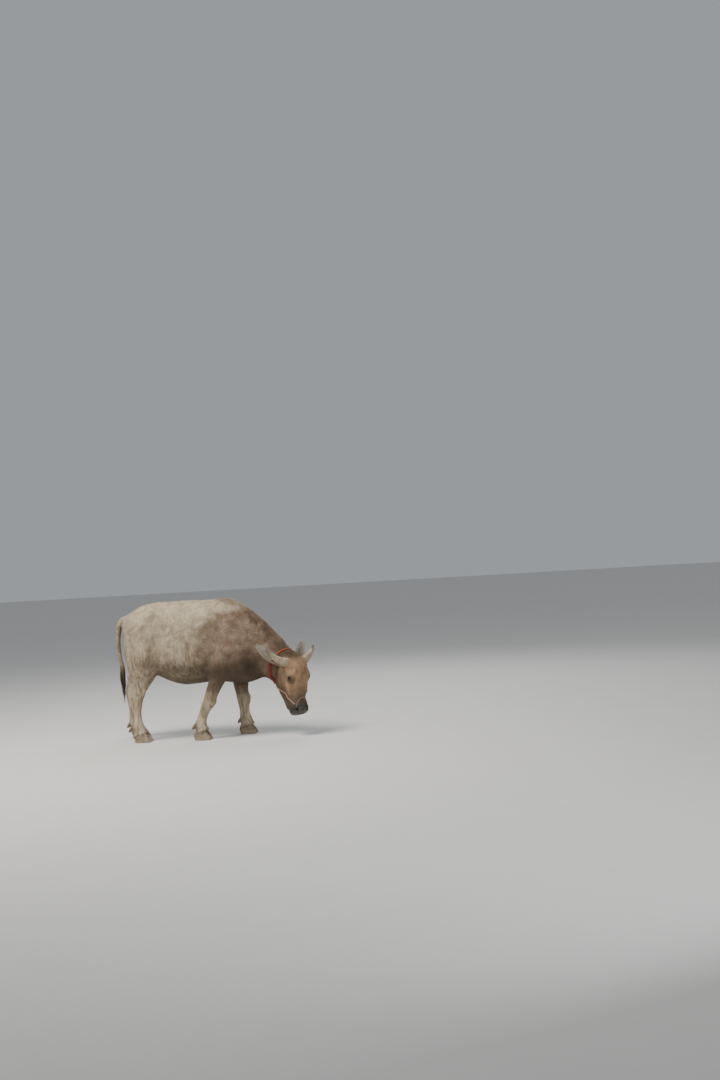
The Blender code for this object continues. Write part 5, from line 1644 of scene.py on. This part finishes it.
# The middle line of each region of the trunk, in the drawing
TRUNK_LINES = {
    "rump": ((-0.2, 0.0, 0.78), (0.24, 0.0, 0.78)),
    "barrel": ((0.2, 0.0, 0.78), (0.54, 0.0, 0.78)),
    "shoulders": ((0.5, 0.0, 0.78), (0.95, 0.0, 0.74)),
    "neck": ((0.80, 0.0, 0.74), (1.22, -0.10, 0.60)),
}


def chart(world, region):
    """A place's spot on an unwrap of the hide: each region rolled out round its own axis."""
    p = world - np.array(SHIFT)
    local = head_points(world)
    u, v = np.zeros(len(p)), np.zeros(len(p))
    for name, number in REGION.items():
        mine = region == number
        if not mine.any():
            continue
        if name in TRUNK_LINES:
            a, b = (np.array(s) for s in TRUNK_LINES[name])
            run = (b - a) / np.linalg.norm(b - a)
            q = p[mine] - a
            u[mine] = (q @ run) / np.linalg.norm(b - a)
            rest = q - np.outer(q @ run, run)
            v[mine] = np.arctan2(rest[:, 1], -rest[:, 2]) / (2 * math.pi) + 0.5
        elif name.endswith("legs"):
            left = p[mine, 1] > 0
            middles = [leg_line(f"{name[:4]}_{side}", p[mine, 2]) for side in ("left", "right")]
            middle_x = np.where(left, *middles)
            turn = np.arctan2(p[mine, 1] - np.where(left, FOOT_Y, -FOOT_Y), p[mine, 0] - middle_x)
            v[mine] = turn / (4 * math.pi) + np.where(left, 0.75, 0.25)
            u[mine] = p[mine, 2] / 0.55
        elif name == "head":
            u[mine] = (local[mine, 0] + 0.06) / 0.53
            v[mine] = np.arctan2(local[mine, 1], local[mine, 2] + 0.03) / (2 * math.pi) + 0.5
        elif name == "ears":
            left = local[mine, 1] > 0
            u[mine] = np.clip(np.linalg.norm(local[mine] * (1, 1, 0) - (0.09, 0, 0), axis=1) / 0.34, 0, 1)
            v[mine] = np.clip((local[mine, 2] + 0.14) / 0.16, 0, 1) * 0.48 + np.where(left, 0.51, 0.0)
        else:
            share, _ = along_path(p[mine], TAIL_LINE)
            u[mine] = share
            v[mine] = np.arctan2(p[mine, 1], p[mine, 0] + 0.2) / (2 * math.pi) + 0.5
    return np.clip(np.stack([u, v], 1), 0.004, 0.996)


def tufts(name, roots, facing, ways, lengths, widths, lift, rings, spots):
    """One mesh of closed tapered tufts, three-sided, with a point at each tip."""
    count = len(roots)
    stations = np.linspace(0, 1, rings + 1)[:-1]
    across = np.cross(facing, ways)
    bend = DRAW.normal(0, 0.16, count)[:, None]
    points = []
    for t in [*stations, 1.0]:
        rise = lift * (1.55 * t - 0.95 * t * t)
        centre = roots - facing * TUFT_SUNK + ways * (lengths * t)[:, None]
        centre = centre + facing * (lengths * rise)[:, None] + across * bend * (lengths * t * t)[:, None]
        if t == 1.0:
            points.append(centre[:, None, :])
            continue
        half = (widths * (1 - 0.62 * t))[:, None]
        corners = (centre - across * half, centre + facing * half * 0.9, centre + across * half)
        points.append(np.stack(corners, 1))
    points = np.concatenate(points, 1)
    each = points.shape[1]
    faces = []
    for r in range(rings - 1):
        for k in range(3):
            n = (k + 1) % 3
            faces += [(r * 3 + k, r * 3 + n, r * 3 + 3 + n), (r * 3 + k, r * 3 + 3 + n, r * 3 + 3 + k)]
    top = (rings - 1) * 3
    faces += [(top + k, top + (k + 1) % 3, each - 1) for k in range(3)]
    faces = np.array(faces)[:, ::-1]
    corners = (faces[None] + (np.arange(count) * each)[:, None, None]).reshape(-1, 3)
    mesh = mesh_from_arrays(name, points.reshape(-1, 3), corners, np.arange(0, corners.size, 3))
    mesh.shade_smooth()
    share = np.concatenate([np.repeat(stations, 3), [1.0]])
    over = np.concatenate([np.tile((-1.0, 0.0, 1.0), rings), [0.0]])
    small = np.stack([over, share * 2 - 1], 1) * TUFT_PATCH / 2
    spread = (spots[:, None, :] + small[None]).reshape(-1, 2)
    layer = mesh.uv_layers.new(name="OFBake")
    layer.data.foreach_set("uv", spread[corners.ravel()].astype(np.float32).ravel())
    made = link(name, mesh)
    keep_zone(made, "tip", np.tile(share, count))
    return made, each


def coat(skin):
    """Scatters the tufts over the skin, more where the hair is thick, and gives them its markings and
    painted shade.
    """
    mesh = skin.data
    points, facing = places(mesh), normals(mesh)
    zones = {name: zone_values(mesh, name) for name in ZONES}
    region = regions(points, zones["ear"])
    mesh.calc_loop_triangles()
    corners = np.empty(len(mesh.loop_triangles) * 3, np.int32)
    mesh.loop_triangles.foreach_get("vertices", corners)
    corners = corners.reshape(-1, 3)
    a, b, c = (points[corners[:, k]] for k in range(3))
    area = np.linalg.norm(np.cross(b - a, c - a), axis=1) / 2
    thick, long = hair_amount(points, zones)
    fringes = {"crest": crest_share, "fetlocks": fetlock_share}
    pieces = []
    for name, (count, length, width, lift, rings) in COAT.items():
        if name in fringes:
            weight = area * fringes[name](points)[corners].mean(1)
        else:
            weight = area * thick[corners].mean(1) * (region[corners[:, 0]] == REGION[name])
        chosen = corners[DRAW.choice(len(corners), count, p=weight / weight.sum())]
        mixing = DRAW.dirichlet((1, 1, 1), count)

        def blend(values):
            """Values at the tufts' roots, from the corners of the faces they stand on."""
            return np.einsum("ij,ij...->i...", mixing, values[chosen])

        root, out = blend(points), blend(facing)
        out /= np.maximum(np.linalg.norm(out, axis=1), 1e-9)[:, None]
        own = region[chosen[:, 0]]
        way = lie(root, out, own)
        if name == "fetlocks":
            way = way * 0.4 + np.array((-0.10, 0, -1.0))
            way -= out * np.einsum("ij,ij->i", way, out)[:, None]
            way /= np.linalg.norm(way, axis=1)[:, None]
        lengths = length * DRAW.uniform(0.60, 1.25, count) * blend(long)
        widths = width * DRAW.uniform(0.7, 1.2, count)
        lifts = lift * DRAW.uniform(0.5, 1.6, count)
        cell = np.stack([own % ATLAS_ROWS, own // ATLAS_ROWS], 1)
        spots = (chart(root, own) + cell) / ATLAS_ROWS
        made, each = tufts("coat_" + name, root, out, way, lengths, widths, lifts, rings, spots)
        for zone, values in zones.items():
            keep_zone(made, zone, np.repeat(blend(values), each))
        pieces.append(made)
    return pieces


def hair_amount(points, zones):
    """How thickly the hair grows at each place, and how long against its region's length."""
    local = head_points(points)
    bare = np.clip(zones["muzzle"] * 1.2, 0, 1)
    lids_bare = np.zeros(len(points))
    for side in (-1, 1):
        away = np.linalg.norm(local - eye_place(side), axis=1)
        lids_bare = np.maximum(lids_bare, 1 - ramp(away, 0.014, 0.026))
    thick = (0.55 + 0.35 * NOISE(points, 0.05)) * (1 - 0.93 * bare) * (1 - lids_bare)
    # Thinner hair where the dark zone, mostly painted shade, is strong.
    thick = thick * np.where(zones["dark"] > 0.6, 0.6, 1.0)
    face_front = face_share(points) * ramp(local[:, 0], 0.16, 0.34)
    long = (1 - 0.45 * face_front) * (1 - 0.30 * (1 - ramp(points[:, 2], 0.10, 0.30)))
    poll = near_spot(local, (0.02, 0, 0.06), (0.11, 0.09, 0.09))
    brow = near_spot(local, (0.11, 0, 0.09), (0.08, 0.06, 0.05))
    tufted = np.clip(poll + brow, 0, 1)
    long = long * (1 + 0.9 * tufted)
    rim = zones["ear"] * (0.75 + 0.9 * zones["ear_in"])
    long = long * (1 + 0.5 * rim)
    return np.clip(thick * (1 + 0.8 * tufted), 0.01, 3), long


CREST_LINE = (
    (0.70, -0.005, 1.045),
    (0.85, -0.02, 0.985),
    (1.00, -0.06, 0.860),
    (1.12, -0.10, 0.730),
    (1.19, -0.12, 0.640),
)


def crest_share(points):
    """The longer hair along the neck's upper edge, on the withers and on the poll."""
    return 1 - ramp(away_from(points - np.array(SHIFT), CREST_LINE), 0.030, 0.085)


def fetlock_share(points):
    """The fringe over each coronet and the hair behind each fetlock."""
    found = np.zeros(len(points))
    for name in LEG_X:
        q = points - np.array(foot_middle(name))
        near = (np.abs(q[:, 0]) < 0.11) & (np.abs(q[:, 1]) < 0.09)
        edge = 0.060 + q[:, 0] / 0.130 * 0.040
        found = np.maximum(found, near * (1 - ramp(q[:, 2] - edge, 0.012, 0.034)))
        behind = near * (q[:, 0] < -0.030) * (q[:, 2] > 0.07) * (q[:, 2] < 0.15)
        found = np.maximum(found, behind * 0.5)
    return found * (points[:, 2] - SHIFT.z < 0.17)


def zone_values(mesh, name):
    values = np.empty(len(mesh.vertices), np.float32)
    mesh.attributes[name].data.foreach_get("value", values)
    return values.astype(float)


def coat_material():
    """The skin's own colours and painted shade, a little paler towards the tips, with a dull sheen."""
    paint = Paint("short_hair", 0.72, 0.25)
    colour, _, _, patchy, fine = hide_colours(paint)
    tip = paint.zone("tip")
    pale = paint.mix(patchy, linear(176, 158, 130), linear(150, 122, 94))
    colour = paint.mix(paint.ramp(tip, 0.3, 1.0, 0.05, 0.38), colour, pale)
    normal = paint.bump(fine, 0.25, 0.0005)
    return paint.finish(colour, normal)


def place_piece(piece, name, material, slot, *nodes):
    """Names a piece, gives it its material and puts it in the place of its nodes."""
    piece.name = name
    piece.data.materials.clear()
    piece.data.materials.append(material)
    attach(piece, "root")
    if nodes:
        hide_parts(*nodes)


# What each piece of the halter is made of, by a word in its name: material, slot
HALTER_FINISH = {
    "rope": (("pale_rope", (158, 112, 98), (198, 160, 142), (116, 88, 72)), "rope"),
    "yarn": (("red_wool", (126, 28, 20), (176, 52, 34), (116, 62, 48)), "red_yarn"),
    "nape": (("orange_wool", (146, 58, 28), (190, 92, 48), (126, 84, 58)), "red_yarn"),
}


def dress():
    """Makes every piece, gives it its material and puts it on the animal."""
    skin = make_skin()
    for name, values in hide_zones(places(skin.data), normals(skin.data)).items():
        keep_zone(skin, name, values)
    # Painted shade in the hide's folds: how deep each place lies in one.
    keep_zone(skin, "deep", cavity(skin.data))
    hair = coat_material()
    for made in coat(skin):
        place_piece(made, made.name, hair, "ear_skin" if made.name == "coat_ears" else "hide")
    place_piece(skin, "skin", hide_material(), "hide", *FLESH, "ear_right", "ear_left")
    horns = horn_material()
    for side, label in SIDES:
        made = horn(side)
        keep_horn_zones(made, side)
        place_piece(made, "curved_horn_" + label, horns, "horn", "horn_" + label)
    hooves = hoof_material()
    for name in LEG_X:
        for way, label in ((side_of(name), "outer"), (-side_of(name), "inner")):
            for made, kind in ((claw(name, way), "claw"), (dewclaw(name, way), "dewclaw")):
                node = f"{kind}_{name}_{label}"
                keep_zone(made, "low", 1 - ramp(places(made.data)[:, 2], 0.0, 0.06))
                place_piece(made, "worn_" + node, hooves, "hoof", node)
    eyes = eye_material()
    for side, label in SIDES:
        made = eye(side)
        keep_eye_zones(made, side)
        place_piece(made, "eyeball_" + label, eyes, "eye", "eye_" + label)
    place_piece(tail_switch(), "tail_strands", hair_material(), "tail_hair", "tail_switch")
    finishes = {"bead": (bead_material(), "bead")}
    for word, ((name, *tones), slot) in HALTER_FINISH.items():
        finishes[word] = rope_material(name, *(linear(*tone) for tone in tones)), slot
    finishes["cord"] = finishes["rope"]
    for node, made in halter(skin).items():
        material, slot = next(finishes[word] for word in finishes if word in node)
        place_piece(made, "worn_" + node, material, slot, node)


def keep_horn_zones(piece, side):
    """The horn's dark tip, and painted shade in the grooves between its rings."""
    local = head_points(places(piece.data))
    share = np.linalg.norm(local - mirrored(HORN_ROOT, side), axis=1) / HORN_REACH
    keep_zone(piece, "tip", ramp(share, 0.60, 0.92))
    # Painted shade: how deep each place lies in a groove between the rings.
    keep_zone(piece, "rings", cavity(piece.data, 4))


def keep_eye_zones(piece, side):
    """The iris and the level slot of the pupil."""
    q = (head_points(places(piece.data)) - eye_place(side)) @ eye_axes(side).T
    away = np.hypot(q[:, 0], q[:, 1])
    front = q[:, 2] > 0
    keep_zone(piece, "iris", (1 - ramp(away, 0.0106, 0.0118)) * front)
    slot_shape = np.hypot(q[:, 0] / 0.0062, q[:, 1] / 0.0036)
    keep_zone(piece, "pupil", (1 - ramp(slot_shape, 0.85, 1.1)) * front)


# The floor, the light and the camera at the photograph's angle


FLOOR_REACH = 40
FLOOR_GAP = 0.001
SKY = (0.86, 0.90, 0.96, 1)
SKY_STRENGTH = 0.40
# Soft lights: name, place, size, power, tint
LAMPS = (
    ("key", (-1.6, -2.4, 5.6), 2.6, 400, (1.0, 0.96, 0.90)),
    ("fill", (4.0, -5.0, 2.4), 4.0, 60, (0.94, 0.97, 1.0)),
    ("back", (1.0, 4.5, 4.5), 4.0, 110, (0.96, 0.98, 1.0)),
)
LAMP_AIM = Vector((0, 0, 0.5))


def studio():
    """A plain pale floor, soft lights and an even sky."""
    floor_mesh = bpy.data.meshes.new("floor")
    bm = bmesh.new()
    bmesh.ops.create_grid(bm, x_segments=8, y_segments=8, size=FLOOR_REACH)
    bm.to_mesh(floor_mesh)
    bm.free()
    floor = link("floor", floor_mesh)
    floor.location.z = -FLOOR_GAP
    paint = Paint("pale_floor", 0.85, 0.2)
    grain = paint.noise(3.0, 5.0, 0.6)
    colour = paint.mix(grain, linear(214, 213, 209), linear(221, 220, 216))
    floor_mesh.materials.append(paint.finish(colour))
    world = bpy.data.worlds.new("studio")
    bpy.context.scene.world = world
    world.use_nodes = True
    sky = world.node_tree.nodes["Background"].inputs
    sky["Color"].default_value = SKY
    sky["Strength"].default_value = SKY_STRENGTH
    for name, place, size, power, tint in LAMPS:
        lamp = bpy.data.lights.new(name, "AREA")
        lamp.energy = power
        lamp.size = size
        lamp.color = tint
        made = link(name, lamp)
        made.location = place
        made.rotation_euler = (LAMP_AIM - Vector(place)).to_track_quat("-Z", "Y").to_euler()


CAMERA_PLACE = (3.4578783, -11.35204771, 1.45724416)
CAMERA_TURN = math.radians(8.5)
CAMERA_ROLL = math.radians(3.5)


def camera():
    """A 50 mm lens on the animal's right side, 11 m away, turned and rolled a little."""
    level = Vector((math.cos(CAMERA_TURN), math.sin(CAMERA_TURN), 0))
    forward = Vector((-math.sin(CAMERA_TURN), math.cos(CAMERA_TURN), 0))
    upright = Vector((0, 0, 1))
    right = level * math.cos(CAMERA_ROLL) - upright * math.sin(CAMERA_ROLL)
    up = upright * math.cos(CAMERA_ROLL) + level * math.sin(CAMERA_ROLL)
    lens = bpy.data.cameras.new("photo_view")
    lens.lens = 50
    lens.sensor_width = 36
    lens.clip_end = 200
    made = link("photo_view", lens)
    turn = Matrix((right, up, -forward)).transposed().to_4x4()
    made.matrix_world = Matrix.Translation(drawn(*CAMERA_PLACE)) @ turn
    bpy.context.scene.camera = made


camera()
studio()
dress()
